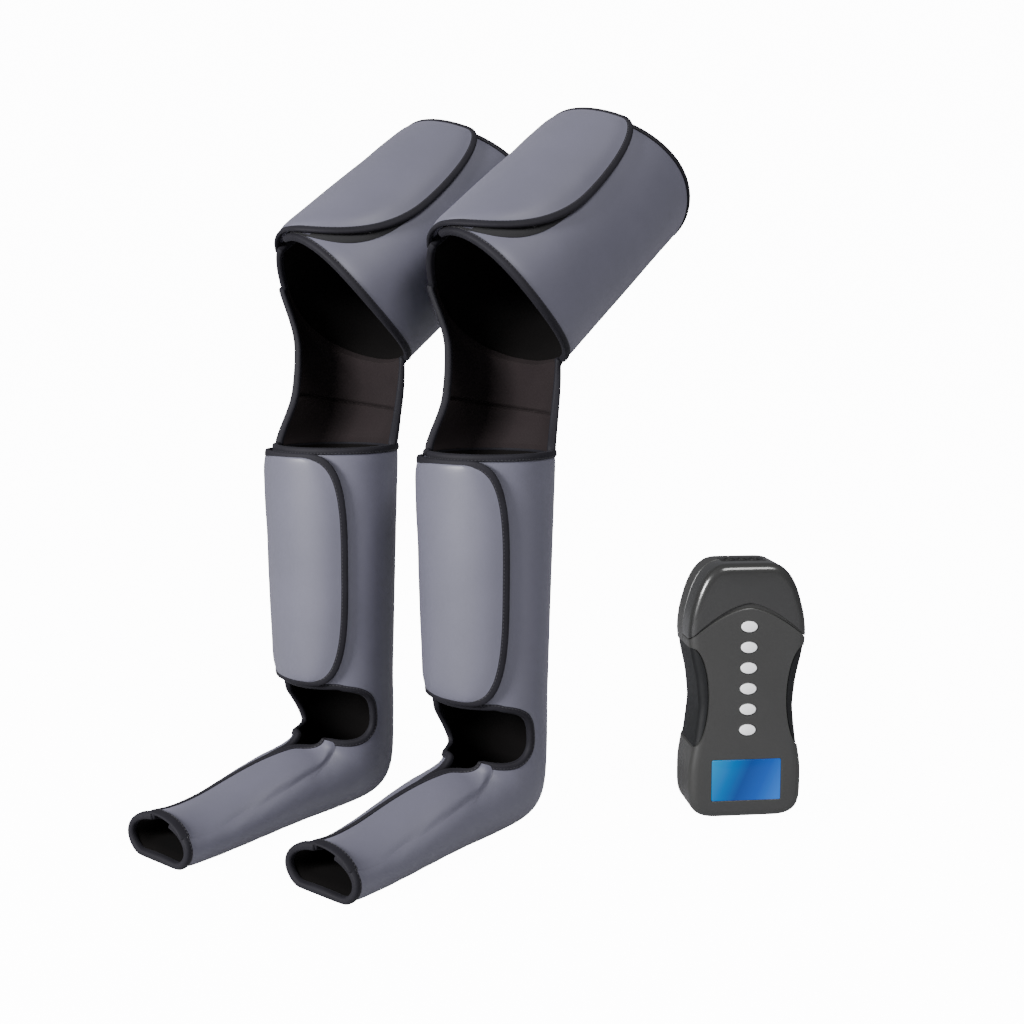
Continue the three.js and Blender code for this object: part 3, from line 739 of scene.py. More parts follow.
@dataclass
class Line:
    """A line along the edge of a sheet, for tapes and stitches.

    Attributes:
        points: places along it, in mm.
        normals: outward normal of the sheet at each.
        inner: for each, a place on the sheet a little way in from the edge.
    """

    points: Array
    normals: Array
    inner: Array

    def each(self, change: Callable[[Array], Array]) -> "Line":
        """The line with its points, normals and inner places changed alike."""
        return Line(change(self.points), unit(change(self.normals)), change(self.inner))

    def even(self, step: float) -> "Line":
        """The same line with its points evenly spaced along its running length.

        Args:
            step: distance between points in mm, rounded so that it fits the length.

        Returns:
            The new line.
        """
        run = np.concatenate([[0], np.cumsum(steps(self.points))])
        at = np.linspace(0, run[-1], max(int(round(run[-1] / step)), 2) + 1)
        return self.each(lambda a: beside(*(np.interp(at, run, column) for column in a.T)))

    def eased(self, spread: float) -> "Line":
        """The same line with its corners rounded, by a Gaussian mean of this spread in mm."""
        return self.even(1.0).each(lambda a: smoothed(a, spread))

    def split(self, length: float) -> tuple["Line", "Line"]:
        """The line in two, which share the point between them.

        Args:
            length: where it is parted, in mm from its start.

        Returns:
            The line before and after that place.
        """
        at = int(np.searchsorted(steps(self.points).cumsum(), length)) + 1
        return self.each(lambda a: a[: at + 1]), self.each(lambda a: a[at:])

    def frame_vectors(self) -> tuple[Array, Array, Array]:
        """Directions along the line and out of the edge, and the latter's stretch at corners.

        The line's direction is the sum of the two unit steps round a point; out of the edge is its
        cross product with the normal, turned away from the inner places; the stretch is one over
        the cosine of half the turn.

        Returns:
            Unit vectors along, unit vectors out of the edge, and the stretch.
        """
        way = unit(np.diff(self.points, axis=0))
        before, after = np.vstack([way[:1], way]), np.vstack([way, way[-1:]])
        along = unit(before + after)
        across = unit(np.cross(along, self.normals))
        if np.mean(np.sum(across * (self.points - self.inner), -1)) < 0:
            across = -across
        half = np.clip(np.sum(before * along, -1), 0.6, 1)
        return along, across, 1 / half

    def moved(self, out: float, up: float) -> "Line":
        """The line shifted out of the edge and up along the normal."""
        shift = self.frame_vectors()[1] * out + self.normals * up
        return Line(self.points + shift, self.normals, self.inner + shift)


def sweep(
    line: Line,
    section: Array,
    floor: float | None = None,
    reach: Array | None = None,
    nose: float = 1.6,
) -> Shape:
    """Carries a closed section along a line.

    Its ends are rounded: rings shrink by the cosine of an angle while they move on by its sine
    times the nose's length.

    Args:
        line: the line.
        section: rows of (out of the edge, up), in order round the section.
        floor: nothing reaches below this height.
        reach: for each place, the share of the section's reach beyond the edge.
        nose: how far either end is rounded, in mm.

    Returns:
        A bar with capped ends.
    """
    along, across, stretch = line.frame_vectors()
    out = section[None, :, 0] * stretch[:, None]
    if reach is not None:
        out = np.where(out > 0, out * reach[:, None], out)
    grid = (
        line.points[:, None]
        + across[:, None] * out[..., None]
        + line.normals[:, None] * section[None, :, 1:]
    )
    turn = np.radians([25, 50, 75])[:, None, None]
    middle = grid.mean(1)
    first, last = (
        middle[end] + (grid[end] - middle[end]) * np.cos(turn) + along[end] * way * np.sin(turn)
        for end, way in ((0, -nose), (-1, nose))
    )
    grid = np.concatenate([first[::-1], grid, last])
    if floor is not None:
        grid[..., 2] = np.maximum(grid[..., 2], floor)
    return tower(grid)


def joined(lines: Sequence[Line]) -> Line:
    """Several lines end to end as one."""
    return Line(
        *(np.vstack([getattr(a, key) for a in lines]) for key in ("points", "normals", "inner"))
    )


@dataclass(frozen=True)
class TapeSizes:
    """A binding tape folded over an edge, in mm.

    Attributes:
        reach: how far it stands out past the edge.
        lap: how far it lies over the cloth on each face.
        proud: how far it rises above the cloth.
        power: roundness of its fold; 2 is an ellipse, more is squarer.
        fold_start: where the fold starts, past the edge.
        sink: how far its face sinks at the lap's end, and at 0.7 of the lap.
        seam: its row of stitches, as a share of the lap and as a depth in its face.
    """

    reach: float = 3.4
    lap: float = 3.4
    proud: float = 0.85
    power: float = 2.6
    fold_start: float = -1.0
    sink: Pair = (0.55, 0.12)
    seam: Pair = (0.62, 0.12)

    def section(self, thickness: float) -> Array:
        """The closed section round a sheet whose outer face is at height 0.

        The fold is half a superellipse; the lap's two faces thin out to the cloth.

        Args:
            thickness: the sheet's, in mm.

        Returns:
            Rows of (out of the edge, up).
        """
        middle, half = -thickness / 2, thickness / 2 + self.proud
        turn = np.linspace(math.pi / 2, -math.pi / 2, 13)
        cos, sin = np.cos(turn), np.sin(turn)
        start = self.fold_start
        out = start + (self.reach - start) * np.abs(cos) ** (2 / self.power)
        up = middle + half * np.sign(sin) * np.abs(sin) ** (2 / self.power)
        end, bend = (middle + half - sink for sink in self.sink)
        lap = np.array([[-self.lap, end], [-self.lap * 0.7, bend]])
        back = lap[::-1] * [1, -1] + [0, 2 * middle]
        return np.vstack([lap, beside(out, up), back])

    def seam_on(self, line: Line) -> Line:
        """Where the stitches run on the tape along a line."""
        return line.moved(-self.lap * self.seam[0], self.proud - self.seam[1])


@dataclass(frozen=True)
class StitchSizes:
    """A row of sewn stitches, in mm: a thread is wider than high by its flatness, and has as many
    sides as stations along it.
    """

    pitch: float = 3.6
    length: float = 2.5
    radius: float = 0.3
    flatness: float = 1.4
    least_height: float = 0.5
    sides: int = 5

    def along(self, line: Line) -> Shape:
        """One short round-ended thread per pitch, half sunk into the cloth.

        A stitch is a ring of points carried through stations whose radius follows half an ellipse
        over its length.

        Args:
            line: where the stitches run.

        Returns:
            All of them as one shape.
        """
        even = line.even(self.pitch)
        along, across, _ = even.frame_vectors()
        share = np.linspace(-1, 1, self.sides)[:, None]
        swell = np.sqrt(np.maximum(1 - share**2, 0.05)) * self.radius
        turn = np.linspace(0, 2 * math.pi, self.sides, endpoint=False)
        local = beside(
            share * self.length / 2, swell * np.cos(turn) * self.flatness, swell * np.sin(turn)
        )
        one = tower(local)
        even.points[:, 2] = np.maximum(even.points[:, 2], self.least_height)
        axes = np.stack([along, across, even.normals], 1)
        points = even.points[:, None] + local.reshape(-1, 3) @ axes
        count, size = len(even.points), len(one.points)
        quads = (one.quads[None] + (np.arange(count) * size)[:, None, None]).reshape(-1, 4)
        caps = [cap + i * size for i in range(count) for cap in one.caps]
        return Shape(points.reshape(-1, 3), quads, np.tile(one.uv, (count, 1, 1)), caps)


# wraps


class Side(Flag):
    """The borders of a sheet's grid."""

    LEFT = auto()
    RIGHT = auto()
    LOW = auto()
    HIGH = auto()


def border_distance(grid: Array, sides: Side) -> Array:
    """Distance from each grid point to the nearest of some borders, along rows and columns.

    Args:
        grid: points in mm.
        sides: the borders that count.

    Returns:
        Distances in mm.
    """
    across = np.linalg.norm(np.diff(grid, axis=1, prepend=grid[:, :1]), axis=2).cumsum(1)
    along = np.linalg.norm(np.diff(grid, axis=0, prepend=grid[:1]), axis=2).cumsum(0)
    least = np.full(grid.shape[:2], 1e3)
    for side, distance in (
        (Side.LEFT, across),
        (Side.RIGHT, across[:, -1:] - across),
        (Side.LOW, along),
        (Side.HIGH, along[-1:] - along),
    ):
        if side & sides:
            least = np.minimum(least, distance)
    return least


@dataclass(frozen=True)
class Wall:
    """Layers of a wrap's wall, measured inwards from the outer face, in mm.

    The chamber starts to swell a border's width from an edge and is full a border_rise further
    in; a weld between two cells leaves weld_share of its swell. A tape pinches the cover and
    squeezes the layers. The cover has long and short waves, the short ones short_share as high.
    """

    cover: float = 2.4
    chamber_inset: float = 2.9
    chamber: float = 2.8
    cell: float = 62.0
    border: float = 12.0
    border_rise: float = 14.0
    weld_half: float = 0.3
    weld_share: float = 0.25
    lining_inset: float = 6.2
    lining: float = 2.0
    lining_swell: float = 0.5
    lining_pinch: float = 0.8
    pinch: float = 1.1
    pinch_reach: float = 7.0
    squeeze: float = 2.2
    unevenness: float = 0.55
    waves: Pair = (95.0, 31.0)
    short_share: float = 0.35

    @property
    def thickness(self) -> float:
        """From the outer face of the cover to the inner face of the lining."""
        return self.lining_inset + self.lining

    @property
    def edge_thickness(self) -> float:
        """The same where a tape holds the layers together."""
        return self.thickness - self.squeeze


@dataclass(frozen=True)
class Boot:
    """The surface of a wrap's sleeve from the calf's rim to the toes, in mm.

    A section has a front and a back point in the leg's plane and half a width across it. Sections
    lie level down the calf, fan about a pivot at the instep, and stand upright along the foot.
    """

    calf_top: float = 379.0
    calf_bottom: float = 134.0
    calf_top_radius: float = 66.5
    calf_bottom_radius: float = 59.0
    toe_reach: float = 241.0
    toe_height: float = 48.0
    instep_sag: float = 12.0
    toe_half_width: float = 46.0
    instep_reach: float = 72.0
    pivot_height: float = 88.0
    instep_depth: float = 20.0
    heel_reach: float = 61.0
    heel_power: float = 6.0
    heel_half_width: float = 53.5
    sole_sink: float = 7.0
    far_pull: float = 0.2
    far_pull_path: float = 84.0
    far_pull_reach: float = 34.0
    seam_gap: float = 0.3
    floor_softness: float = 1.2
    kink_spread: float = 6.0
    table: Array = field(default=None, compare=False, repr=False)

    @property
    def base(self) -> float:
        """Height at which the path starts."""
        return self.calf_bottom - self.seam_gap

    @property
    def level_run(self) -> float:
        """Path from the calf's lower edge to where the sections start to fan."""
        return self.base - self.pivot_height

    @property
    def fan_run(self) -> float:
        """Path of the fan: a quarter turn at the instep's reach."""
        return math.pi / 2 * self.instep_reach

    @property
    def length(self) -> float:
        """Whole path from the calf's lower edge to the toes."""
        return self.level_run + self.fan_run + self.toe_reach - self.instep_reach

    def __post_init__(self) -> None:
        """Works out the table of sections once, one row per mm of path, and rounds its kinks.

        A row holds the front point's (y, z), the back point's (y, z) and half the width. Down the
        calf they run straight. Round the fan the back lies on a superellipse about the pivot. The
        foot's top runs straight, less a sag of s^2 (1 - s), whose peak 27/4 brings to 1.
        """
        path = np.arange(-270.0, self.length + 30)
        height = self.base - path
        share = (height - self.calf_bottom) / (self.calf_top - self.calf_bottom)
        calf = blend_between(self.calf_bottom_radius, self.calf_top_radius, share)
        rows = beside(-calf, height, calf, height, calf)

        t = np.clip(path / self.level_run, 0, 1)
        low_half = self.calf_bottom_radius - self.instep_depth / 8
        level = beside(
            -blend_between(self.calf_bottom_radius, self.instep_reach - self.instep_depth, t),
            height,
            blend_between(self.calf_bottom_radius, self.heel_reach, t),
            height,
            blend_between(self.calf_bottom_radius, low_half, t),
        )
        turn = np.clip((path - self.level_run) / self.instep_reach, 0, math.pi / 2)
        cos, sin = np.cos(turn), np.sin(turn)
        far = (
            np.abs(cos / (self.heel_reach + self.instep_reach)) ** self.heel_power
            + np.abs(sin / (self.pivot_height + self.sole_sink)) ** self.heel_power
        ) ** (-1 / self.heel_power)
        mean_half = (self.heel_half_width + self.toe_half_width) / 2
        fan = beside(
            -self.instep_reach + self.instep_depth * cos,
            self.pivot_height - self.instep_depth * sin,
            -self.instep_reach + far * cos,
            self.pivot_height - far * sin,
            blend_between(low_half, mean_half, turn / (math.pi / 2)),
        )
        start = self.level_run + self.fan_run
        s = np.maximum((path - start) / (self.toe_reach - self.instep_reach), 0)
        reach = blend_between(self.instep_reach, self.toe_reach, s)
        straight = blend_between(self.pivot_height - self.instep_depth, self.toe_height, s)
        sag = 27 / 4 * self.instep_sag * s**2 * np.maximum(1 - s, 0)
        half = blend_between(mean_half, self.toe_half_width, s)
        foot = beside(-reach, straight - sag, -reach, -self.sole_sink, half)
        rows = np.where((path > 0)[:, None], level, rows)
        rows = np.where((path > self.level_run)[:, None], fan, rows)
        rows = np.where((path > start)[:, None], foot, rows)
        rows = smoothed(rows, self.kink_spread)
        object.__setattr__(self, "table", np.column_stack([path, rows]))

    def surface(self, degrees: Array, path: Array, offset: Array) -> Array:
        """Points of the sleeve.

        Across, half the width plus the offset times the sine; in the plane, from the section's
        middle towards its front by half its length plus the offset times the cosine. The height is
        held above the floor by a soft maximum, k ln(1 + e^(z/k)). The ankle's far side is drawn in
        by a Gaussian of the path.

        Args:
            degrees: angle round from the front; 90 is +X.
            path: distance down the calf and along the foot.
            offset: distance outwards.

        Returns:
            Places in mm.
        """
        degrees, path, offset = np.broadcast_arrays(degrees, path, offset)
        row = [np.interp(path, self.table[:, 0], self.table[:, i]) for i in range(1, 6)]
        front, back, half_width = beside(*row[0:2]), beside(*row[2:4]), row[4]
        middle = (front + back) / 2
        away = front - middle
        length = np.linalg.norm(away, axis=-1)
        turn = np.radians(degrees)
        share = (length + offset) / length * np.cos(turn)
        plane = middle + away * share[..., None]
        floor = -np.minimum(offset, 0)
        height = floor + self.floor_softness * np.logaddexp(
            0, (plane[..., 1] - floor) / self.floor_softness
        )
        across = (half_width + offset) * np.sin(turn)
        pull = bell(path - self.far_pull_path, self.far_pull_reach)
        across = np.where(across < 0, across * (1 - self.far_pull * pull), across)
        return beside(across, plane[..., 0], height)


def angle_from(start: float, degrees: Array) -> Array:
    """Signed angle from one direction to others, from -180 to 180 degrees."""
    return (np.asarray(degrees) - start + 180) % 360 - 180


@dataclass(frozen=True)
class Cuff:
    """The surface of the thigh cuff: an oval tube along a leaning axis, in mm and degrees."""

    base: tuple[float, float, float] = (0.0, 31.0, 540.0)
    lean: float = 56.6
    half_width: float = 81.0
    half_depth: float = 93.5
    run: float = 231.0
    rim_slope: float = 20.0
    side_drop: float = 23.0
    front_drop: float = 45.0
    front_angle: float = 25.0
    front_reach: Pair = (110.0, 140.0)
    rim_dip: float = 8.0
    dip_at: float = 10.0
    rim_swell: float = 9.0
    swell_at: float = 95.0
    wave_reach: float = 38.0

    def surface(self, degrees: Array, along: Array, offset: Array) -> Array:
        """Points of the cuff: the axis, plus half the width or depth times the sine or cosine.

        Args:
            degrees: angle round from the top; 90 is +X.
            along: distance along the axis.
            offset: distance outwards.

        Returns:
            Places in mm.
        """
        degrees, along, offset = np.broadcast_arrays(degrees, along, offset)
        lean, turn = math.radians(self.lean), np.radians(degrees)
        axis = np.array([0, math.sin(lean), math.cos(lean)])
        up = np.array([0, -math.cos(lean), math.sin(lean)])
        side = np.array([1.0, 0, 0])
        return (
            np.array(self.base)
            + along[..., None] * axis
            + ((self.half_width + offset) * np.sin(turn))[..., None] * side
            + ((self.half_depth + offset) * np.cos(turn))[..., None] * up
        )

    def lower_rim(self, degrees: Array) -> Array:
        """Lower rim: it hangs lower at the sides, by the square of the sine, and in front.

        The front's drop is a half wave about its angle, which reaches further on one side.

        Args:
            degrees: angle round from the top.

        Returns:
            Distance along the axis, in mm.
        """
        away = angle_from(self.front_angle, degrees)
        share = np.minimum(np.abs(away) / np.where(away < 0, *self.front_reach), 1)
        front = self.front_drop * (1 + np.cos(math.pi * share)) / 2
        return -self.side_drop * np.sin(np.radians(degrees)) ** 2 - front

    def upper_rim(self, degrees: Array) -> Array:
        """Upper rim: longer underneath, by the cosine, with a dip in front and a swell beside it.

        Args:
            degrees: angle round from the top.

        Returns:
            Distance along the axis, in mm.
        """
        dip = self.rim_dip * bell(angle_from(self.dip_at, degrees), self.wave_reach)
        swell = self.rim_swell * bell(angle_from(self.swell_at, degrees), self.wave_reach)
        return self.run - self.rim_slope * np.cos(np.radians(degrees)) - dip + swell


@dataclass(frozen=True)
class FlapSizes:
    """Outline and padding of a flap: angles in degrees round its sleeve, the rest in mm.

    The root and the free edge are angles, and so are the edge's corners at the flap's start and
    end. It rises from the root over rise_run degrees and fills from its hem over pad_run. With
    a start_run the edge widens over that share of its length. The share bare of the starting
    edge, from the root, has no tape, and the tape widens from nothing over its taper.
    """

    root: float
    edge: float
    start_corner: float
    end_corner: float
    power: float
    lift: float = 3.6
    root_lift: float = 0.2
    rise_run: float = 20.0
    thickness: float = 4.6
    crown: float = 1.6
    edge_thickness: float = 3.4
    hem: float = 1.2
    pad_run: float = 11.0
    pad_reach: float = 12.0
    unevenness: float = 0.4
    start_run: float = 0.0
    bare: float = 0.06
    tape: TapeSizes = TapeSizes(4.2, 3.2, 0.8)
    taper: float = 0.0

    def outline(self, share: Array, power: Array | float, beyond: float = 0.0) -> Array:
        """Angle of the free edge.

        Half a superellipse between its corners; where there is a start run, it eases over that
        share of the length from the first corner instead.

        Args:
            share: place along the root, from 0 to 1.
            power: roundness of the edge.
            beyond: how far it is moved out, in degrees.

        Returns:
            Degrees round the sleeve.
        """
        t = 2 * share - 1
        corner = np.where(t < 0, self.start_corner, self.end_corner)
        curve = np.maximum(1 - np.abs(t) ** power, 0) ** (1 / power)
        if self.start_run:
            edge = blend_between(self.start_corner, self.edge, ease(share / self.start_run))
            made = np.where(t < 0, edge, corner + (edge - corner) * curve)
        else:
            made = corner + (self.edge - corner) * curve
        return made + beyond * np.sign(self.edge - self.root)

    def degrees(self, share: Array, column: Array) -> Array:
        """Angle for shares along and across."""
        return self.root + (self.outline(share, self.power) - self.root) * column

    def rise(self, degrees: Array) -> Array:
        """Height of its inner face: eased from the root's lift to the full one."""
        t = ease(np.abs(degrees - self.root) / self.rise_run)
        return self.root_lift + (self.lift - self.root_lift) * t


@dataclass(frozen=True)
class OpeningSide:
    """One side of the ankle opening, in degrees from the front.

    Attributes:
        reach: angle of its edge at the widest place.
        corner: least angle above that place.
        slot: least angle below it and along the foot.
        widest: that place as a share of the opening's run.
        powers: roundness above and below it; 2 is an ellipse, more is squarer.
    """

    reach: float
    corner: float
    slot: float
    widest: float
    powers: Pair

    def edge(self, path: Array, run: float) -> Array:
        """Angle of the edge: half a superellipse, never less than the corner or the slot.

        Args:
            path: distances down the sleeve.
            run: path at which the opening closes.

        Returns:
            Angles, without their sign.
        """
        widest = run * self.widest
        above = path < widest
        share = np.minimum(np.abs(path - widest) / np.where(above, widest, run - widest), 1)
        power = np.where(above, *self.powers)
        wide = self.reach * (1 - share**power) ** (1 / power)
        return np.maximum(wide, np.where(above, self.corner, self.slot))


@dataclass
class Leg:
    """One wrap: calf and foot sleeve, thigh cuff, knee panel, their flaps, tapes and stitches."""

    side: str
    place: Place
    looks: Finishes
    boot: Boot
    cuff: Cuff = Cuff()
    wall: Wall = Wall()
    tape: TapeSizes = TapeSizes()
    stitch: StitchSizes = StitchSizes()
    tape_step: float = 3.0
    dip_run: float = 14.0
    rim_reach: float = 4.5
    opening_turn: float = 28.0
    near_opening: OpeningSide = OpeningSide(84.0, 48.0, 28.0, 0.5, (3.5, 2.1))
    far_opening: OpeningSide = OpeningSide(77.0, 52.0, 12.0, 0.74, (1.9, 1.6))
    calf_span: Pair = (-28.0, 308.0)
    cuff_span: Pair = (-20.0, 320.0)
    inlet_height: float = 294.0
    inlet_offset: float = 0.3
    knee_low: Pair = (117.0, 298.0)
    knee_high: Pair = (150.0, 285.0)
    knee_gaps: Pair = (4.8, 1.4)
    knee_length: float = 110.0
    knee_width: float = 180.0
    knee_waist: float = 0.1
    knee_far_waist: float = 0.15
    knee_bulge: float = 9.0
    knee_faces: tuple[float, float, float, float] = (-0.6, -3.4, -3.9, -7.2)
    knee_rows: Pair = (-0.05, 1.07)
    knee_tape_rows: Pair = (-0.03, 1.03)
    knee_tape: TapeSizes = TapeSizes(reach=2.4, lap=3.4, seam=(2.1 / 3.4, 0.13))
    knee_back: float = 70.0
    knee_heights: Pair = (388.0, 450.0)
    pleat: tuple[float, float, float] = (0.36, 0.25, -0.32)
    pleat_reach: float = 0.016
    pleat_depth: float = 2.9
    calf_flap: FlapSizes = FlapSizes(-60, 52, 18, 18, 3.2)
    foot_flap: FlapSizes = FlapSizes(
        60, -15, 27, -6, 4.5, lift=1.7, root_lift=-0.3, rise_run=40.0, thickness=2.2, crown=0.6,
        edge_thickness=2.0, hem=0.3, pad_run=48.0, start_run=0.72, bare=1.0,
        tape=TapeSizes(6.8, 3.2, 0.8), taper=34.0,
    )
    foot_flap_sweep: float = 22.0
    foot_flush_run: float = 34.0
    foot_flush_angles: Pair = (34.0, 46.0)
    foot_flush: float = 0.93
    toe_thinning: Pair = (0.8, 0.3)
    hook_reach: Pair = (34.0, 9.0)
    loop_width: Pair = (4.0, 40.0)
    cuff_flap: FlapSizes = FlapSizes(-46, 54, -8, 36, 2.0, root_lift=1.3)

    def name(self, part: str) -> str:
        """The part's name with the wrap's side before it."""
        return f"{self.side}_{part}"

    def body(self, part: str) -> str:
        """The body that the part rides on."""
        return "root" if part == "root" else self.name(part)

    def add(
        self, part: str, shape: Shape, look: Made, body: str, stands_for: bool = True
    ) -> Object:
        """Makes one piece of the wrap.

        Args:
            part: its name without the wrap's side.
            shape: what it is made of.
            look: its finish.
            body: the body that it rides on, without the side.
            stands_for: whether the CAD has a node of the same name.

        Returns:
            The mesh object.
        """
        name, node = self.name(part), ""
        if stands_for:
            name, node = name + "_piece", name
        piece = add_mesh(name, shape, self.place, look.material)
        return dress(piece, self.body(body), look.slot, node)

    # Sleeves: cover, air chamber and lining on one surface

    def sleeve(
        self,
        part: str,
        surface: Surface,
        degrees: Array,
        along: Array,
        bound: Side,
        body: str,
        fade: Array | float = 1.0,
    ) -> None:
        """Builds the three layers of a sleeve over grids of its angles and distances.

        The cover's outer face sinks next to a bound edge by a Gaussian of the distance to it, and
        is uneven elsewhere. The chamber swells in cells between welds, as the root of a sine, and
        the lining follows it.

        Args:
            part: calf, foot or thigh.
            surface: a point for an angle, a distance and an offset.
            degrees: grid of angles.
            along: grid of distances.
            bound: the edges that are taped or sewn.
            body: the body that it rides on.
            fade: share of the dip at the edges that is left, for each row.
        """
        wall = self.wall
        grid = surface(degrees, along, 0.0)
        distance = border_distance(grid, bound)
        near = bell(distance, wall.pinch_reach) * fade
        long, short = (
            slow_waves(degrees, along, length, seed) for length, seed in zip(wall.waves, (3, 5))
        )
        waves = long + wall.short_share * short
        outer = -wall.pinch * near + wall.unevenness * waves * (1 - near)
        cover = closed_sheet(surface(degrees, along, outer), surface(degrees, along, -wall.cover))
        piece = self.add(f"{part}_cover", cover, self.looks.shell, body)
        self.declare_sheet(grid)

        weld = np.sqrt(np.abs(np.sin(math.pi * along / wall.cell)))
        inside = np.clip((distance - wall.border) / wall.border_rise, 0, 1)
        swell = blend_between(wall.weld_share, 1, weld) * np.sqrt(inside)
        middle = -wall.chamber_inset - wall.chamber / 2
        half = blend_between(wall.weld_half, wall.chamber / 2, swell)
        faces = (surface(degrees, along, middle + side * half)[2:-2, 2:-2] for side in (1, -1))
        bag = closed_sheet(*faces)
        chamber = self.add(f"{part}_air_chamber", bag, self.looks.bladder, body)

        squeeze = wall.squeeze * near
        depth = squeeze - wall.thickness - wall.lining_swell * swell + wall.lining_pinch * near
        lining = closed_sheet(
            surface(degrees, along, squeeze - wall.lining_inset), surface(degrees, along, depth)
        )
        piece = self.add(f"{part}_lining", lining, self.looks.lining, body)
        self.declare_sheet(surface(degrees, along, -wall.thickness))

    def declare_sheet(self, grid: Array) -> None:
        """Works out the flat size of the surface a cloth piece is cut for and its quads'
        diagonals, and does nothing with them.

        Args:
            grid: points of that surface; each quad's area is half its diagonals' cross product.
        """
        width, length = (steps(grid, axis).sum(axis).max() * MM for axis in (1, 0))
        a = grid[1:, 1:] - grid[:-1, :-1]
        b = grid[1:, :-1] - grid[:-1, 1:]

    def edge(
        self,
        surface: Surface,
        across: Array | float,
        along: Array | float,
        inward: Pair,
        lift: Array | float = 0.0,
    ) -> Line:
        """The line along an edge of a surface.

        Args:
            surface: a point for two coordinates and an offset.
            across: the first coordinate along the edge.
            along: the second one.
            inward: a step of both that leads into the sheet.
            lift: height of the line above the surface.

        Returns:
            The line, with the surface's normals.
        """
        across, along = np.broadcast_arrays(across, along)
        points = surface(across, along, lift)
        normals = unit(points - surface(across, along, lift - 1.0))
        return Line(points, normals, surface(across + inward[0], along + inward[1], lift))

    def bind(
        self,
        part: str,
        line: Line,
        thickness: float,
        body: str,
        tape: TapeSizes | None = None,
        floor: float | None = None,
        stands_for: bool = True,
        taper: float = 0.0,
    ) -> None:
        """Folds a tape over an edge and sews it with a row of stitches.

        Args:
            part: the tape's name without the wrap's side.
            line: the edge.
            thickness: what the tape holds, in mm.
            body: the body that it rides on.
            tape: its sizes, where they aren't the wrap's own.
            floor: it doesn't reach below this height.
            stands_for: whether the CAD has a node of the same name.
            taper: length over which its reach grows from nothing, in mm.
        """
        sizes = tape or self.tape
        even = line.even(self.tape_step)
        run = np.arange(len(even.points)) * self.tape_step
        shape = sweep(even, sizes.section(thickness), floor, ease(run / taper) if taper else None)
        self.add(part, shape, self.looks.tape, body, stands_for)
        seam = self.stitch.along(sizes.seam_on(even))
        self.add(f"{part}_stitches", seam, self.looks.thread, body, stands_for=False)

    # Calf and foot

    @property
    def opening_run(self) -> float:
        """Path at which the ankle opening closes."""
        return self.boot.level_run + math.radians(self.opening_turn) * self.boot.instep_reach

    @property
    def toe_path(self) -> float:
        """Path of the toe rim, a tape's reach before the end."""
        return self.boot.length - self.rim_reach

    def build_boot(self) -> None:
        """Builds the calf and foot sleeves, which meet in a flat seam, and their tapes."""
        surface, run, toe_path = self.boot.surface, self.opening_run, self.toe_path
        near, far = self.near_opening, self.far_opening
        top = self.boot.calf_bottom - self.boot.calf_top - self.boot.seam_gap
        path, degrees = np.meshgrid(
            np.linspace(top, 0, 64), np.linspace(*self.calf_span, 150), indexing="ij"
        )
        self.sleeve("calf", surface, degrees, path, Side.LOW, "root")

        path = np.concatenate([run * even_to_ends(44), np.linspace(run, toe_path, 84)[1:]])
        path = path[:, None]
        share = np.linspace(0, 1, 140)
        degrees = blend_between(near.edge(path, run), 360 - far.edge(path, run), share)
        path = np.broadcast_to(path, degrees.shape)
        sides = Side.LEFT | Side.RIGHT | Side.HIGH
        self.sleeve("foot", surface, degrees, path, sides, "root", ease(path / self.dip_run))

        thickness = self.wall.edge_thickness
        rim = self.edge(surface, np.linspace(*self.calf_span, 140), top, (0, 1))
        self.bind("calf_rim_binding", rim, thickness, "root")
        toe = self.edge(surface, np.linspace(near.slot, 360 - far.slot, 160), toe_path, (0, -1))
        self.bind("toe_binding", toe, thickness, "root", floor=0.0)

        dense = run * even_to_ends(90)
        back, down = dense[::-1], np.linspace(toe_path, run, 160)[:-1]
        across = np.linspace(-far.corner, near.corner, 60)[1:-1]
        edge = joined(
            (
                self.edge(surface, 360 - far.slot, down, (-1, 0)),
                self.edge(surface, 360 - far.edge(back, run), back, (-1, 0)),
                self.edge(surface, across, 0.0, (0, -1)),
                self.edge(surface, near.edge(dense, run), dense, (1, 0)),
            )
        )
        slot, ankle = edge.eased(3.0).split(toe_path - run)
        self.bind("ankle_binding", ankle, thickness, "root")
        self.bind("foot_slot_binding", slot, thickness, "root", stands_for=False)

    def build_inlet(self) -> None:
        """Turns the barbed air inlet behind the calf: a flange, a tube with two barbs, a bore."""
        flange = [(1.8, 0), (9, 0), (9.0, 1.4), (8.6, 2), (4.6, 2), (3.9, 2.6), (3.6, 4)]
        barbs = [(3.6, 8), (4.5, 8.2), (3.7, 10.6), (3.6, 10.7), (4.4, 10.9), (3.4, 14), (1.8, 14)]
        shape = lathe(flange + barbs, 40)
        path = self.boot.base - self.inlet_height
        shape.points = shape.points + self.boot.surface(180.0, path, self.inlet_offset)
        self.add("air_inlet", shape, self.looks.socket, "root")

    # Thigh cuff and knee

    def build_cuff(self) -> None:
        """Builds the thigh cuff's layers and the tape all round its panel."""
        surface = self.cuff.surface
        degrees = np.linspace(*self.cuff_span, 170)[None]
        share = np.linspace(0, 1, 64)[:, None]
        lower, upper = self.cuff.lower_rim, self.cuff.upper_rim
        along = blend_between(lower(degrees), upper(degrees), share)
        degrees = np.broadcast_to(degrees, along.shape)
        every = Side.LEFT | Side.RIGHT | Side.LOW | Side.HIGH
        self.sleeve("thigh", surface, degrees, along, every, "thigh")

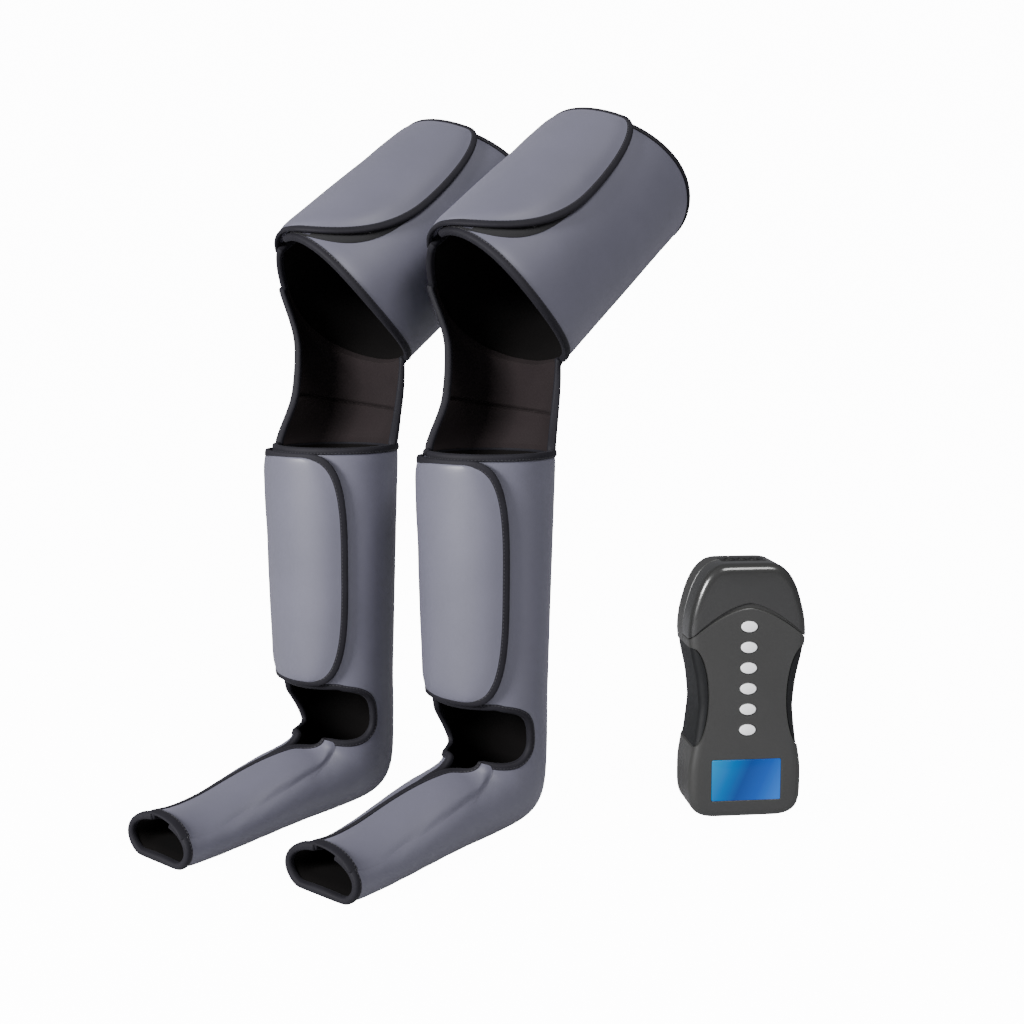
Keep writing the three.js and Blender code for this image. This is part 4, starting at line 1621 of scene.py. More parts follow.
        near, far = self.knee_high[0] - 3.0, self.knee_high[1] - 1.5
        start, end = self.cuff_span
        up_end = np.linspace(lower(end), upper(end), 60)[1:-1]
        up_start = np.linspace(upper(start), lower(start), 60)[1:-1]
        first, last = np.linspace(far, end, 40), np.linspace(start, near, 120)
        over = np.linspace(end, start, 180)
        parts = (
            self.edge(surface, first, lower(first), (0, 1)),
            self.edge(surface, end, up_end, (-1, 0)),
            self.edge(surface, over, upper(over), (0, -1)),
            self.edge(surface, start, up_start, (1, 0)),
            self.edge(surface, last, lower(last), (0, 1)),
        )
        self.bind("thigh_binding", joined(parts).eased(2.5), self.wall.edge_thickness, "thigh")

    def knee_surface(self, column: Array, row: Array, offset: Array) -> Array:
        """The panel behind the knee, between the calf's rim and the cuff's lower one.

        Straight lines between the two rims, narrowed to the middle by a parabola, on the far side
        also by an eased share, and bulged backwards by a parabola. Past either end a row runs on
        inside that sleeve's wall. The offset goes along the mean of the two normals.

        Args:
            column: share from the near side to the far one.
            row: share from the calf's rim to the cuff's.
            offset: distance outwards.

        Returns:
            Places in mm.
        """
        column, row, offset = np.broadcast_arrays(column, row, offset)
        low_angle = blend_between(*self.knee_low, column)
        high_angle = blend_between(*self.knee_high, column)
        below, above = (np.maximum(past, 0) * self.knee_length for past in (-row, row - 1))
        path = self.boot.base - self.boot.calf_top - self.knee_gaps[0] + below
        along = self.cuff.lower_rim(high_angle) - self.rim_reach - self.knee_gaps[1] + above
        low, low_out = (self.boot.surface(low_angle, path, out) for out in (0.0, 1.0))
        high, high_out = (self.cuff.surface(high_angle, along, out) for out in (0.0, 1.0))
        inside = np.clip(row, 0, 1)
        middle = 4 * inside * (1 - inside)
        waist = ease(inside / 0.32) * (1 - ease((inside - 0.6) / 0.4))
        points = blend_between(low, high, inside[..., None])
        points[..., 0] *= 1 - self.knee_waist * middle - self.knee_far_waist * column**2 * waist
        points[..., 1] += self.knee_bulge * middle
        normal = unit(blend_between(low_out - low, high_out - high, inside[..., None]))
        return points + normal * offset[..., None]

    def build_knee(self) -> None:
        """Builds the knee panel: outer cloth, lining with a sewn pleat, and taped sides.

        The pleat follows a parabola across the lining; its fold is a Gaussian, and above it the
        cloth steps in and eases back.
        """
        surface, looks = self.knee_surface, self.looks
        column, row = np.meshgrid(np.linspace(0, 1, 90), np.linspace(*self.knee_rows, 150))
        grid = surface(column, row, 0.0)
        near = bell(border_distance(grid, Side.LEFT | Side.RIGHT), 6)
        waves = slow_waves(column * self.knee_width, row * self.knee_length, 45, 9) * (1 - near)
        start, slope, bend = self.pleat
        pleat = row - (start + slope * column + bend * column**2)
        fold = self.pleat_depth * bell(pleat, self.pleat_reach)
        step = ease(pleat / self.pleat_reach + 0.2) * np.exp(-np.maximum(pleat, 0) / 0.25)
        outer, cover_back, lining_face, deep = self.knee_faces
        outer = outer - 0.9 * near + 0.7 * waves
        deep = deep - 1.5 * step + 0.8 * near - 0.5 * waves + fold
        cover, lining = (
            closed_sheet(*(surface(column, row, out) for out in faces))
            for faces in ((outer, cover_back), (lining_face, deep))
        )
        panel = self.bend("knee_panel_piece", cover, looks.shell)
        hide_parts(self.name("knee_panel"))
        self.declare_sheet(grid)
        # the knee's lining takes the lighter copy of the loop cloth: painted light, against the
        # painted shade of the sleeves' near-black lining
        inside = self.bend("knee_lining_piece", lining, looks.knee_lining)
        self.declare_sheet(grid)

        rows, tape = np.linspace(*self.knee_tape_rows, 70), self.knee_tape
        for part, at, inward in (("knee_binding_near", 0, 0.01), ("knee_binding_far", 1, -0.01)):
            line = self.edge(surface, float(at), rows, (inward, 0)).even(self.tape_step)
            line = line.moved(0, -0.6)
            self.bend(part, sweep(line, tape.section(7.0)), looks.tape)
            self.bend(part + "_stitches", self.stitch.along(tape.seam_on(line)), looks.thread)

    def bend(self, part: str, shape: Shape, look: Made) -> Object:
        """Makes a piece behind the knee, between the calf and the cuff, with its place baked into
        its mesh.

        Args:
            part: its name without the wrap's side.
            shape: what it is made of.
            look: its finish.

        Returns:
            The mesh object.
        """
        piece = add_mesh(self.name(part), shape, self.place, look.material)
        ends = ([[0.0, self.knee_back, height]] for height in self.knee_heights)
        low, high = (tuple(self.place.metres(np.array(end))[0]) for end in ends)
        self.body("thigh")
        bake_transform(piece)
        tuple(low)
        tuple(high)
        log.info("%s bends behind the knee", piece.name)
        return piece

    # Flaps

    def build_flap(self, part: str, sizes: FlapSizes, place: Surface, band: bool) -> None:
        """Builds a padded flap with its tape, its hook band and the loop band below it, which
        shows past the flap's edge as painted shadow.

        The padding fills as one less a Gaussian of the distance to the free edges.

        Args:
            part: calf, foot or thigh.
            sizes: its outline and padding.
            place: a point for a share along the root, an angle and an offset.
            band: whether it is wide enough for the hook and loop bands.
        """
        body = f"{part}_flap"

        def surface(column: Array, share: Array, offset: Array) -> Array:
            """A point of the flap, above its inner face."""
            column, share, offset = np.broadcast_arrays(column, share, offset)
            degrees = sizes.degrees(share, column)
            return place(share, degrees, sizes.rise(degrees) + offset)

        column, row = np.meshgrid(np.linspace(0, 1, 64), even_to_ends(110))
        grid = surface(column, row, 0.0)
        distance = border_distance(grid, Side.RIGHT | Side.LOW | Side.HIGH)
        root = border_distance(grid, Side.LEFT)
        pad = 1 - bell(distance, sizes.pad_reach)
        thick = sizes.edge_thickness
        full = blend_between(thick, sizes.thickness + sizes.crown, pad)
        waves = slow_waves(column * 100, row * 230, 70, 12)
        outer = blend_between(sizes.hem, full, ease(root / sizes.pad_run))
        outer = outer + sizes.unevenness * waves * pad
        shape = closed_sheet(surface(column, row, outer), grid)
        piece = self.add(body, shape, self.looks.shell, body)

        edges = [(1.0, even_to_ends(400), (-0.02, 0))]
        edges.append((np.linspace(1, 0.03, 60)[1:], 1.0, (0, -0.02)))
        if sizes.bare < 1:
            edges.insert(0, (np.linspace(sizes.bare, 1, 60)[:-1], 0.0, (0, 0.02)))
        width = steps(grid[[0, -1]], 1).sum(1)
        parts = []
        for column, share, inward in edges:
            reach = column * width[int(np.max(share) > 0.5)]
            rise = thick * blend_between(0.3, 1, ease(reach / 16))
            parts.append(self.edge(surface, column, share, inward, rise))
        line = joined(parts).eased(2.0)
        self.bind(f"{body}_binding", line, thick, body, sizes.tape, taper=sizes.taper)
        if band:
            self.build_bands(part, sizes, place)

    def build_bands(self, part: str, sizes: FlapSizes, place: Surface) -> None:
        """Sews a hook band under the flap's free edge, and a near-black loop band on the cover
        below it. The loop band reaches past the flap's edge, furthest in the flap's first half, as
        painted shadow under the flap.

        Args:
            part: calf or thigh.
            sizes: the flap's outline.
            place: a point for a share along the root, an angle and an offset.
        """

        def sew(
            name: str,
            grid: tuple[Array, Array],
            faces: Sequence[Array | float],
            look: Made,
            body: str,
        ) -> None:
            """Makes a band between two heights."""
            shape = closed_sheet(*(place(*grid, face) for face in faces))
            self.add(f"{part}_{name}_band", shape, look, body, stands_for=False)

        share, turn = np.meshgrid(np.linspace(0.2, 0.8, 50), np.linspace(0, 1, 20), indexing="ij")
        degrees = sizes.edge - blend_between(*self.hook_reach, turn)
        faces = (sizes.lift - 0.05, sizes.lift - 1.2)
        sew("hook", (share, degrees), faces, self.looks.hooks, f"{part}_flap")

        # the loop band's outer edge lies 1 degree past the flap's and is squarer in the first
        # half, so it shows further out there: painted shadow under the lifted flap
        share, turn = np.meshgrid(even_to_ends(90), np.linspace(0, 1, 24), indexing="ij")
        shadow_fuller = np.where(share < 0.5, sizes.power + 0.7, sizes.power)
        edge = sizes.outline(share, shadow_fuller, 1.0)
        least, widest = self.loop_width
        degrees = edge - (1 - turn) * np.clip(edge - sizes.edge + widest, least, widest)
        level = place(share, degrees, 0.0)
        rim = bell(border_distance(level, Side.RIGHT | Side.LOW | Side.HIGH), 1.5)
        under = "root" if part == "calf" else part
        sew("loop", (share, degrees), (1.3 - 0.6 * rim, -0.9), self.looks.loops, under)

    def build_flaps(self) -> None:
        """Builds the three flaps on their sleeves."""
        boot, cuff = self.boot, self.cuff

        def on_calf(share: Array, degrees: Array, offset: Array) -> Array:
            """Up the calf, from 6 mm above its lower edge to 6 mm below its rim."""
            height = blend_between(boot.calf_bottom + 6, boot.calf_top - 6, share)
            return boot.surface(degrees, boot.base - height, offset)

        def on_foot(share: Array, degrees: Array, offset: Array) -> Array:
            """Along the foot to the toe rim, from a line that sweeps back to the opening.

            Near that line, on the side of the root, the flap thins out to lie on the cover.
            """
            root, ankle = boot.level_run + boot.fan_run + 2, self.opening_run - 4
            back = ease((self.foot_flap.root - degrees) / self.foot_flap_sweep)
            start = blend_between(root, ankle, back)
            path = blend_between(start, self.toe_path - 2.2, share)
            first, last = self.foot_flush_angles
            flush = (1 - ease((path - start) / self.foot_flush_run)) * self.foot_flush
            flush = flush * ease((degrees - first) / (last - first))
            thins, by = self.toe_thinning
            low = 1 - by * ease((share - thins) / (1 - thins))
            return boot.surface(degrees, path, offset * low * (1 - flush))

        def on_cuff(share: Array, degrees: Array, offset: Array) -> Array:
            """Along the cuff, 3 mm in from each rim."""
            low, high = cuff.lower_rim(degrees) + 3, cuff.upper_rim(degrees) - 3
            return cuff.surface(degrees, blend_between(low, high, share), offset)

        self.build_flap("calf", self.calf_flap, on_calf, True)
        self.build_flap("foot", self.foot_flap, on_foot, False)
        self.build_flap("thigh", self.cuff_flap, on_cuff, True)

    def build(self) -> None:
        """Builds the whole wrap."""
        self.build_boot()
        self.build_inlet()
        self.build_cuff()
        self.build_knee()
        self.build_flaps()


# Controller


class Cut(Enum):
    """What carving leaves of a solid."""

    OUTSIDE = "DIFFERENCE"
    INSIDE = "INTERSECT"
    BOTH = "UNION"


def solid_of(name: str, shape: Shape) -> Object:
    """A plain solid in its sub-assembly's own frame, for carving."""
    blank = bpy.data.materials.get("blank") or bpy.data.materials.new("blank")
    return add_mesh(name, shape, Place((0.0, 0.0, 0.0)), blank)


def carve(base: Object, tool: Shape | Object, cut: Cut) -> None:
    """Carves a solid by another and puts the result in the first's mesh.

    Args:
        base: the solid that changes.
        tool: the other, as an object that stays or as a shape.
        cut: what is left.
    """
    other = solid_of("tool", tool) if isinstance(tool, Shape) else tool
    step = base.modifiers.new("carve", "BOOLEAN")
    step.operation = cut.value
    step.solver = "MANIFOLD"
    step.object = other
    graph = bpy.context.evaluated_depsgraph_get()
    mesh = bpy.data.meshes.new_from_object(base.evaluated_get(graph))
    base.modifiers.clear()
    base.data = mesh
    if other is not tool:
        bpy.data.objects.remove(other)


def copy_of(base: Object, name: str) -> Object:
    """Another object with a copy of the same mesh."""
    return link(name, base.data.copy())


def oval(x: float, z: float, half_width: float, half_height: float, sides: int = 64) -> Array:
    """An ellipse in the upright plane, as rows of (x, z)."""
    turn = np.linspace(0, 2 * math.pi, sides, endpoint=False)
    return np.stack([x + half_width * np.cos(turn), z + half_height * np.sin(turn)], -1)


def rounded_box(x: float, z: float, width: float, height: float, radius: float) -> Array:
    """A rectangle with round corners: quarter circles about four centres.

    Args:
        x: its middle across.
        z: its middle upwards.
        width: its whole width.
        height: its whole height.
        radius: of its corners.

    Returns:
        Rows of (x, z).
    """
    turn = np.linspace(0, 2 * math.pi, 48, endpoint=False)
    side = np.stack([np.sign(np.cos(turn + 1e-4)), np.sign(np.sin(turn + 1e-4))], -1)
    corner = side * (np.array([width, height]) / 2 - radius)
    return corner + radius * np.stack([np.cos(turn), np.sin(turn)], -1) + [x, z]


def standing(points: Array, y: float) -> Array:
    """Rows of (x, z) as points at a depth."""
    return np.stack([points[:, 0], np.full(len(points), y), points[:, 1]], -1)


@dataclass
class Controller:
    """The hand controller: a waisted casing with two grips, a visor, six keys and a display."""

    looks: Finishes
    place: Place = Place((183.0, 188.0, 0.0), 45.0)
    height: float = 265.0
    half_width: float = 61.5
    depth: float = 63.5
    wall: float = 2.6
    rounding: float = 9.5
    crown: float = 0.5
    gap: float = 0.3
    outline_shares: tuple[Pair, ...] = (
        (0, 0.62), (0.012, 0.8), (0.04, 0.92), (0.09, 0.955), (0.2, 0.955), (0.32, 0.87),
        (0.44, 0.81), (0.55, 0.86), (0.65, 0.96), (0.725, 1), (0.8, 0.965), (0.89, 0.86),
        (0.95, 0.74), (0.985, 0.6), (1, 0.48),
    )
    groove_peak: float = 222.5
    groove_fall: float = 35.0
    groove_width: Pair = (4.6, 1.6)
    groove_power: float = 1.6
    grip: tuple[float, float, float, float] = (59.5, 126.0, 18.0, 53.0)
    grip_sink: float = 1.1
    display: tuple[float, float, float] = (40.5, 72.0, 42.5)
    key_half: Pair = (8.4, 5.6)
    key_top: float = 201.0
    key_pitch: float = 21.5
    key_proud: float = 1.8
    socket: tuple[float, float, float] = (46.5, 22.0, 16.0)
    bores: tuple[Pair, ...] = ((-13.0, 4.0), (13.0, 4.0), (0.0, 3.5))

    def __post_init__(self) -> None:
        """Rounds the outline once: even steps along the polygon, then a Gaussian mean round it."""
        shares = np.array(self.outline_shares)
        right = np.stack([shares[:, 1] * self.half_width, shares[:, 0] * self.height], -1)
        ring = np.vstack([[[0, 0]], right, (right * [-1, 1])[::-1], [[0, 0]]])
        run = np.concatenate([[0], np.cumsum(steps(ring))])
        at = np.linspace(0, run[-1], 360, endpoint=False)
        even = np.stack([np.interp(at, run, column) for column in ring.T], -1)
        spread = 5.5 / (run[-1] / 360)
        waves = np.exp(-0.5 * (2 * math.pi * np.fft.fftfreq(360) * spread) ** 2)
        even = np.fft.ifft(np.fft.fft(even, axis=0) * waves[:, None], axis=0).real
        even[:, 0] *= self.half_width / even[:, 0].max()
        even[:, 1] = (even[:, 1] - even[:, 1].min()) * self.height / np.ptp(even[:, 1])
        mirror = even[-np.arange(360)] * [-1, 1]
        self.ring = (even + mirror) / 2
        along = np.roll(self.ring, -1, 0) - np.roll(self.ring, 1, 0)
        self.ring_normal = unit(np.stack([along[:, 1], -along[:, 0]], -1))
        self.front = -self.depth / 2

    def body(self, inset: float, seam: float = 0.0) -> Shape:
        """The casing's whole form, moved inwards.

        Rings of the outline follow each other from the middle line of the front, over its rounded
        edge, along the side, where a seam may sink it, and back in the same way behind. A ring is
        the outline less its normal times r(1 - cos); its depth runs as r sin. The front bulges by
        the square of the share that is left to the middle line.

        Args:
            inset: how far its faces lie inside the outer ones, in mm.
            seam: how far the joint between front and back is sunk, in mm.

        Returns:
            A closed shape.
        """
        radius = self.rounding - inset
        flat = self.depth / 2 - inset - radius
        inner = self.ring - self.ring_normal * self.rounding
        spine = np.stack([np.zeros(len(inner)), np.clip(inner[:, 1], 34, self.height - 30)], -1)
        rings = []
        for share in (1.0, 0.8, 0.6, 0.4, 0.2, 0.08):
            points = blend_between(inner, spine, share)
            rings.append(standing(points, -flat - radius + self.crown * (1 - share) ** 2))
        for turn in np.radians(np.linspace(90, 0, 10)):
            points = self.ring - self.ring_normal * (inset + radius * (1 - math.cos(turn)))
            rise = self.crown * math.sin(turn)
            rings.append(standing(points, -flat - radius * math.sin(turn) + rise))
        for depth, sink in ((-8.0, 0.0), (-0.9, 0.0), (-0.45, seam)):
            rings.append(standing(self.ring - self.ring_normal * (inset + sink), depth))
        rings += [ring * [1, -1, 1] for ring in rings[::-1]]
        return skin(np.stack(rings), wrap_columns=True)

    def finish(self, piece: Object, look: Made, node: str = "") -> None:
        """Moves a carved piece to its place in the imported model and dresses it.

        Args:
            piece: the mesh object, in the controller's own frame.
            look: its finish.
            node: the CAD node that it stands for, if there is one.
        """
        mesh = piece.data
        mesh.vertices.foreach_set("co", self.place.metres(places_of(mesh) / MM).ravel())
        mesh.materials.clear()
        mesh.materials.append(look.material)
        mesh.polygons.foreach_set("material_index", np.zeros(len(mesh.polygons), np.int32))
        mesh.shade_smooth()
        mesh.set_sharp_from_angle(angle=math.radians(CARVED_SHARP_ANGLE))
        dress(piece, "root", look.slot, node)

    def groove(self, rise: float) -> Array:
        """The groove's line: a power of the share across, which falls to both sides.

        Args:
            rise: by how many half widths it is moved up.

        Returns:
            Rows of (x, z).
        """
        t = np.linspace(-1.15, 1.15, 90)
        share = np.abs(t)
        half = blend_between(*self.groove_width, np.minimum(share, 1)) / 2
        height = self.groove_peak - self.groove_fall * share**self.groove_power
        return np.stack([t * self.half_width, height + rise * half], -1)

    def region(self, above: bool) -> Shape:
        """All that lies on one side of the groove, its lips rounded next to the front.

        Args:
            above: whether it is the part above.

        Returns:
            A closed shape.
        """
        side, end = (1, self.height + 20) if above else (-1, -20.0)
        lip = ((-30, 1.0), (0.12, 1.0), (0.35, 0.55), (0.7, 0.2), (1.2, 0.0), (31.6, 0.0))
        rings = []
        for depth, back in lip:
            line = self.groove(side) + [0, side * back]
            far = line[::-1] * [1, 0] + [0, end]
            rings.append(standing(np.vstack([line, far]), self.front + depth))
        return tower(rings)

    def hole(self, ring: Callable[[float], Array], flare: float, deep: float) -> Shape:
        """A cutter through the front whose mouth widens by a flare, as a quarter round."""
        lip = ((-3.0, 1.0), (0.15, 1.0), (0.3, 0.5), (0.6, 0.15), (0.9, 0.0), (deep, 0.0))
        return tower([standing(ring(flare * share), self.front + depth) for depth, share in lip])

    def grip_rod(self, side: int, gap: float, flare: float) -> Shape:
        """An oval rod from front to back that widens at both faces.

        Args:
            side: -1 for the left grip, 1 for the right one.
            gap: how much wider it is than the grip, in mm.
            flare: how much more at both faces.

        Returns:
            A closed shape.
        """
        x, z, half_width, half_height = self.grip
        front = [(self.front + depth, share) for depth, share in ((1.2, 1), (2.6, 0.3), (4, 0))]
        rings = []
        for depth, share in [(-40, 1), *front, *((-d, s) for d, s in front[::-1]), (40, 1)]:
            grow = gap + flare * share
            ring = oval(side * x, z, half_width + grow, half_height + grow, 96)
            rings.append(standing(ring, depth))
        return tower(rings)

    def build_casing(self) -> None:
        """Carves the four casing parts out of one shell."""
        looks = self.looks
        shell = solid_of("shell", self.body(0.0, 0.6))
        cavity = solid_of("cavity", self.body(self.wall))
        carve(shell, cavity, Cut.OUTSIDE)
        sunk = solid_of("sunk", self.body(self.grip_sink))
        carve(sunk, cavity, Cut.OUTSIDE)
        for side, name in ((-1, "left_grip"), (1, "right_grip")):
            grip = copy_of(sunk, name + "_piece")
            carve(grip, self.grip_rod(side, 0.0, 0.0), Cut.INSIDE)
            self.finish(grip, looks.grip, name)
            carve(shell, self.grip_rod(side, self.gap, 0.9), Cut.OUTSIDE)
        for spare in (sunk, cavity):
            bpy.data.objects.remove(spare)
        width, depth, height = (a + 2 * self.gap for a in self.socket)
        room = rounded_box(0, 0, width, depth, 2.0)
        heights = (self.height - 2 * height, self.height + 5)
        carve(shell, tower([beside(room[:, 0], room[:, 1], z) for z in heights]), Cut.OUTSIDE)

        visor, rear = copy_of(shell, "top_visor_piece"), copy_of(shell, "rear_casing_piece")
        carve(visor, self.region(True), Cut.INSIDE)
        carve(shell, self.region(False), Cut.INSIDE)
        half = np.array([[-90.0, -40], [90, -40], [90, 300], [-90, 300]])
        carve(rear, tower([standing(half, depth) for depth in (0.15, 60)]), Cut.INSIDE)

        for z in self.key_heights:
            half_sizes = [a + self.gap for a in self.key_half]
            rim = self.hole(lambda grow: oval(0, z, *(a + grow for a in half_sizes)), 0.9, 7.0)
            carve(shell, rim, Cut.OUTSIDE)
        middle, width, height = self.display

        def window(grow: float) -> Array:
            """The display's outline, grown."""
            room = 2 * (self.gap + grow)
            return rounded_box(0, middle, width + room, height + room, 1.4 + grow)

        carve(shell, self.hole(window, 0.7, 8.0), Cut.OUTSIDE)
        shell.name = "front_casing_piece"
        self.finish(shell, looks.casing, "front_casing")
        self.finish(visor, looks.visor, "top_visor")
        self.build_screws(rear)
        self.finish(rear, looks.casing, "rear_casing")

        t = np.linspace(0, 1, 8)[:, None, None]
        line = self.groove(0.0)[8:-8]
        ledge = standing(line, self.front + self.wall + 0.15)[None] + (t - 0.5) * [0, 0, 9]
        self.add("groove_bed", closed_sheet(ledge, ledge + [0, 1.2, 0]), looks.casing)

    def build_screws(self, rear: Object) -> None:
        """Sinks four screw wells into the back and puts a cross-headed screw in each.

        Args:
            rear: the rear casing.
        """
        cross = np.array([[1, 3], [-1, 3], [-1, 1], [-3, 1], [-3, -1], [-1, -1],
                          [-1, -3], [1, -3], [1, -1], [3, -1], [3, 1], [1, 1]]) * 0.55
        well = ((4.6, -3), (4.6, 0), (3.9, 0.5), (3.7, 1.1), (3.7, 1.9))
        head = ((1.2, 5), (1.2, 1.95), (3.2, 1.95), (3.3, 1.6), (3.0, 1.1), (2.0, 0.8))
        for x, z in ((-44.0, 26.0), (44.0, 26.0), (-32.0, 226.0), (32.0, 226.0)):
            hollow, solid = (
                tower([standing(oval(x, z, r, r, 40), -self.front - depth) for r, depth in rings])
                for rings in (well, head)
            )
            carve(rear, hollow, Cut.OUTSIDE)
            side, level = "left" if x < 0 else "right", "lower" if z < 100 else "upper"
            screw = solid_of(f"screw_{side}_{level}", solid)
            slot = tower([standing(cross + [x, z], -self.front - depth) for depth in (1.7, -1)])
            carve(screw, slot, Cut.OUTSIDE)
            self.finish(screw, self.looks.pump)

    def add(
        self, name: str, shape: Shape, look: Made, body: str = "root", node: str = ""
    ) -> Object:
        """Makes and dresses one piece of the controller."""
        return dress(add_mesh(name, shape, self.place, look.material), body, look.slot, node)

    @property
    def key_heights(self) -> list[float]:
        """Height of each key's middle, from the top one down."""
        return [self.key_top - i * self.key_pitch for i in range(6)]

    def build_keys(self) -> None:
        """Builds the six keys: a flange behind the wall, a straight side and a low dome.

        Each is a profile of (share of the half width, depth) turned about the key's axis and
        flattened to its oval; the dome is half a superellipse of power 2.4.
        """
        half_width, half_height = self.key_half
        seat = self.front + self.wall + self.gap
        top = self.front - self.key_proud
        turn = np.linspace(0, math.pi / 2, 10)
        flat, flange = half_width - 1.6, half_width + 1.2
        rim = flat + 1.6 * np.cos(turn) ** (2 / 2.4)
        lift = top + 1.5 - 0.95 * np.sin(turn) ** (2 / 2.4)
        dome = np.linspace(flat, 0, 8)[1:]
        crown = top + 0.55 * (dome / flat) ** 2
        profile = [(0.0, seat + 1), (flange, seat + 1), (flange, seat), (half_width, seat)]
        profile += [*zip(rim, lift), *zip(dome, crown)]
        for i, z in enumerate(self.key_heights):
            shape = lathe(profile, 56)
            shape.points = shape.points * [1, 1, half_height / half_width] + [0, 0, z]
            node = f"button_{i + 1}"
            self.add(node + "_piece", shape, self.looks.key, node, node)

    def build_display(self) -> None:
        """Builds the display's glass: a plate with round corners and a fine bevel.

        Its UV map is the share of its width and height, so that the colours run over its face.
        """
        middle, width, height = self.display
        rings = [
            standing(rounded_box(0, middle, width - 2 * inset, height - 2 * inset, 1.2 - inset),
                     self.front + depth)
            for inset, depth in ((0.0, self.wall), (0.0, 0.35), (0.12, 0.18), (0.3, 0.1))
        ]
        glass, look = tower(rings), self.looks.display
        mesh = self.add("display_window_piece", glass, look, node="display_window").data
        back = places_of(mesh) / MM - np.array(self.place.origin)
        turn = math.radians(self.place.turn)
        x = back[:, 0] * math.cos(turn) + back[:, 1] * math.sin(turn)
        at = beside(x / width + 0.5, (back[:, 2] - middle) / height + 0.5)
        corners = np.empty(len(mesh.loops), np.int32)
        mesh.loops.foreach_get("vertex_index", corners)
        mesh.uv_layers["unrolled"].data.foreach_set("uv", at[corners].astype(np.float32).ravel())

    def build_sockets(self) -> None:
        """Builds the socket block in the upper end: three bores with raised collars."""
        width, depth, height = self.socket
        rings = []
        for drop, inset in ((height, 0.0), (0.6, 0.0), (0.2, 0.2), (0.0, 0.6)):
            ring = rounded_box(0, 0, width - 2 * inset, depth - 2 * inset, 1.7 - inset)
            rings.append(beside(ring[:, 0], ring[:, 1], self.height - drop))
        block = solid_of("hose_sockets_piece", tower(rings))
        collar = ((-0.5, -3), (2.2, -3), (2.2, 0.3), (1.8, 0.7), (0.8, 0.7), (-0.5, -0.2))
        bore = ((0.0, -10), (0.0, -0.4), (0.8, 0.4), (0.8, 3))
        for x, radius in self.bores:
            raised = self.upright([(radius + out, up) for out, up in collar], x, 48)
            carve(block, raised, Cut.BOTH)
            rings = [beside(*oval(x, 0, radius + out, radius + out, 48).T, self.height + up)
                     for out, up in bore]
            carve(block, tower(rings), Cut.OUTSIDE)
        self.finish(block, self.looks.socket, "hose_sockets")
        pin = [(0.0, -10.5), (0.7, -10.5), (0.7, -3.4), (0.4, -3), (0.0, -3)]
        self.add("power_pin", self.upright(pin, 0, 20), self.looks.pump)

    def upright(self, profile: Sequence[Pair], x: float, sides: int) -> Shape:
        """Turns a profile of (radius, height above the upper end) about an upright line."""
        shape = lathe(profile, sides)
        shape.points = shape.points[:, [0, 2, 1]] + [x, 0, self.height]
        return shape

    def dress_inside(self) -> None:
        """Gives the CAD's inner parts, whose shapes are right, their materials."""
        looks = self.looks
        for node, look in (
            ("display_module", looks.board), ("keypad_mat", looks.silicone),
            ("circuit_board", looks.board), ("air_pump", looks.pump),
            ("valve_block", looks.socket),
        ):
            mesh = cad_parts[node].data
            mesh.materials.clear()
            mesh.materials.append(look.material)
            log.info("%s keeps its CAD mesh", node)

    def build(self) -> None:
        """Builds the whole controller."""
        self.build_casing()
        self.build_keys()
        self.build_display()
        self.build_sockets()
        self.dress_inside()


# camera, light and floor


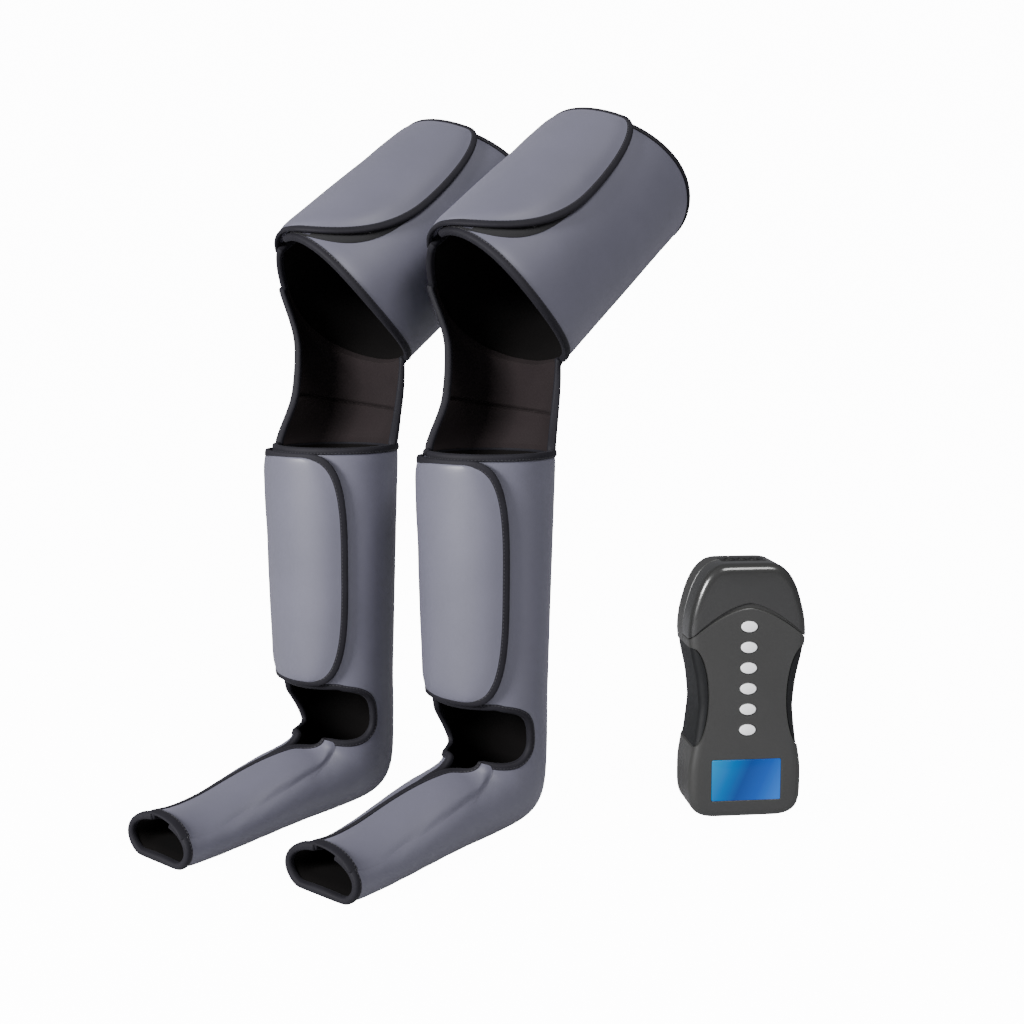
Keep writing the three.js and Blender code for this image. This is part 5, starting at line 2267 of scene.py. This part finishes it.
@dataclass(frozen=True)
class Studio:
    """A pale floor, soft light and the photograph's camera, in metres and degrees.

    The floor's sizes are in mm.
    """

    azimuth: float = 39.06
    elevation: float = 5.73
    distance: float = 1.290
    aim_height: float = 0.368
    focal_share: float = 1286 / 1024
    shift: Pair = (0.0218, -0.0479)
    lamp_aim: float = 0.35
    room_light: float = 0.26
    backdrop_light: float = 14.0
    floor_light: float = 0.1
    floor_half: float = 9000.0
    floor_top: float = -0.4

    def add_camera(self) -> None:
        """Places the camera where the photograph was taken from."""
        a, e = math.radians(self.azimuth), math.radians(self.elevation)
        back = np.array([math.sin(a) * math.cos(e), -math.cos(a) * math.cos(e), math.sin(e)])
        lens = bpy.data.cameras.new("camera")
        lens.sensor_width = 36
        lens.lens = 36 * self.focal_share
        lens.shift_x, lens.shift_y = self.shift
        camera = link("camera", lens)
        camera.location = np.array([0, 0, self.aim_height]) + back * self.distance
        camera.rotation_euler = (math.radians(90 - self.elevation), 0, math.radians(self.azimuth))
        bpy.context.scene.camera = camera

    def add_lamp(
        self, name: str, place: tuple[float, float, float], size: float, power: float
    ) -> None:
        """Hangs one soft square lamp that faces the wraps' middle.

        Args:
            name: the lamp's name.
            place: its middle, in metres.
            size: its width and height, in metres.
            power: in watts.
        """
        lamp = bpy.data.lights.new(name, "AREA")
        lamp.size = size
        lamp.energy = power
        holder = link(name, lamp)
        holder.location = place
        aim = np.array([0, 0, self.lamp_aim]) - np.array(place)
        tilt, turn = math.atan2(math.hypot(aim[0], aim[1]), -aim[2]), math.atan2(aim[1], aim[0])
        holder.rotation_euler = (tilt, 0, turn - math.pi / 2)

    def add_floor(self) -> None:
        """Lays the floor: a matt white acrylic sheet, lit from below, as far as the eye sees.

        The camera sees it as bright as the backdrop, and the object gets little of its light.
        """
        ends = np.array([-self.floor_half, self.floor_half])
        grid = beside(ends[None], ends[:, None], self.floor_top)
        tree = Tree("acrylic_sheet_opal")
        base, glow_colour = linear("#a6a6aa"), linear("#fbfbfc")
        sheet = tree.add(
            "BsdfPrincipled",
            {"Base Color": base, "Roughness": 0.9, "Emission Color": glow_colour},
        )
        ray = tree.add("LightPath")
        glow = tree.add(
            "MapRange",
            {
                "Value": ray.outputs["Is Camera Ray"],
                "To Min": self.floor_light,
                "To Max": self.backdrop_light,
            },
        )
        tree.tree.links.new(glow.outputs["Result"], sheet.inputs["Emission Strength"])
        floor = add_mesh("floor", skin(grid), Place((0, 0, 0)), tree.finish(sheet))

    def add_sky(self) -> None:
        """Surrounds the scene with soft grey light in front of a nearly white backdrop."""
        sky = bpy.data.worlds.new("studio")
        sky.use_nodes = True
        tree = sky.node_tree
        room, backdrop = tree.nodes["Background"], tree.nodes.new("ShaderNodeBackground")
        for light, colour, strength in (
            (room, "#e9eaf2", self.room_light), (backdrop, "#fbfbfc", self.backdrop_light),
        ):
            light.inputs["Color"].default_value = linear(colour)
            light.inputs["Strength"].default_value = strength
        ray = tree.nodes.new("ShaderNodeLightPath")
        mix = tree.nodes.new("ShaderNodeMixShader")
        tree.links.new(ray.outputs["Is Camera Ray"], mix.inputs["Fac"])
        tree.links.new(room.outputs["Background"], mix.inputs[1])
        tree.links.new(backdrop.outputs["Background"], mix.inputs[2])
        tree.links.new(mix.outputs["Shader"], tree.nodes["World Output"].inputs["Surface"])
        bpy.context.scene.world = sky

    def build(self) -> None:
        """Builds camera, lamps, sky and floor."""
        self.add_camera()
        self.add_sky()
        self.add_lamp("key", (-0.4, -2.3, 1.1), 0.7, 125)
        self.add_lamp("fill", (1.8, -0.6, 2.3), 0.9, 60)
        self.add_floor()


def main() -> None:
    """Builds the studio, both wraps and the controller, and reports each piece."""
    logging.basicConfig(level=logging.INFO, format="%(name)s: %(message)s")
    Studio().build()
    finishes = Finishes()
    boot = Boot()
    for side, origin in (("right", (0.0, 0.0, 0.0)), ("left", (-173.0, -46.0, 0.0))):
        Leg(side, Place(origin), finishes, boot).build()
    Controller(finishes).build()


if __name__ == "__main__":
    main()
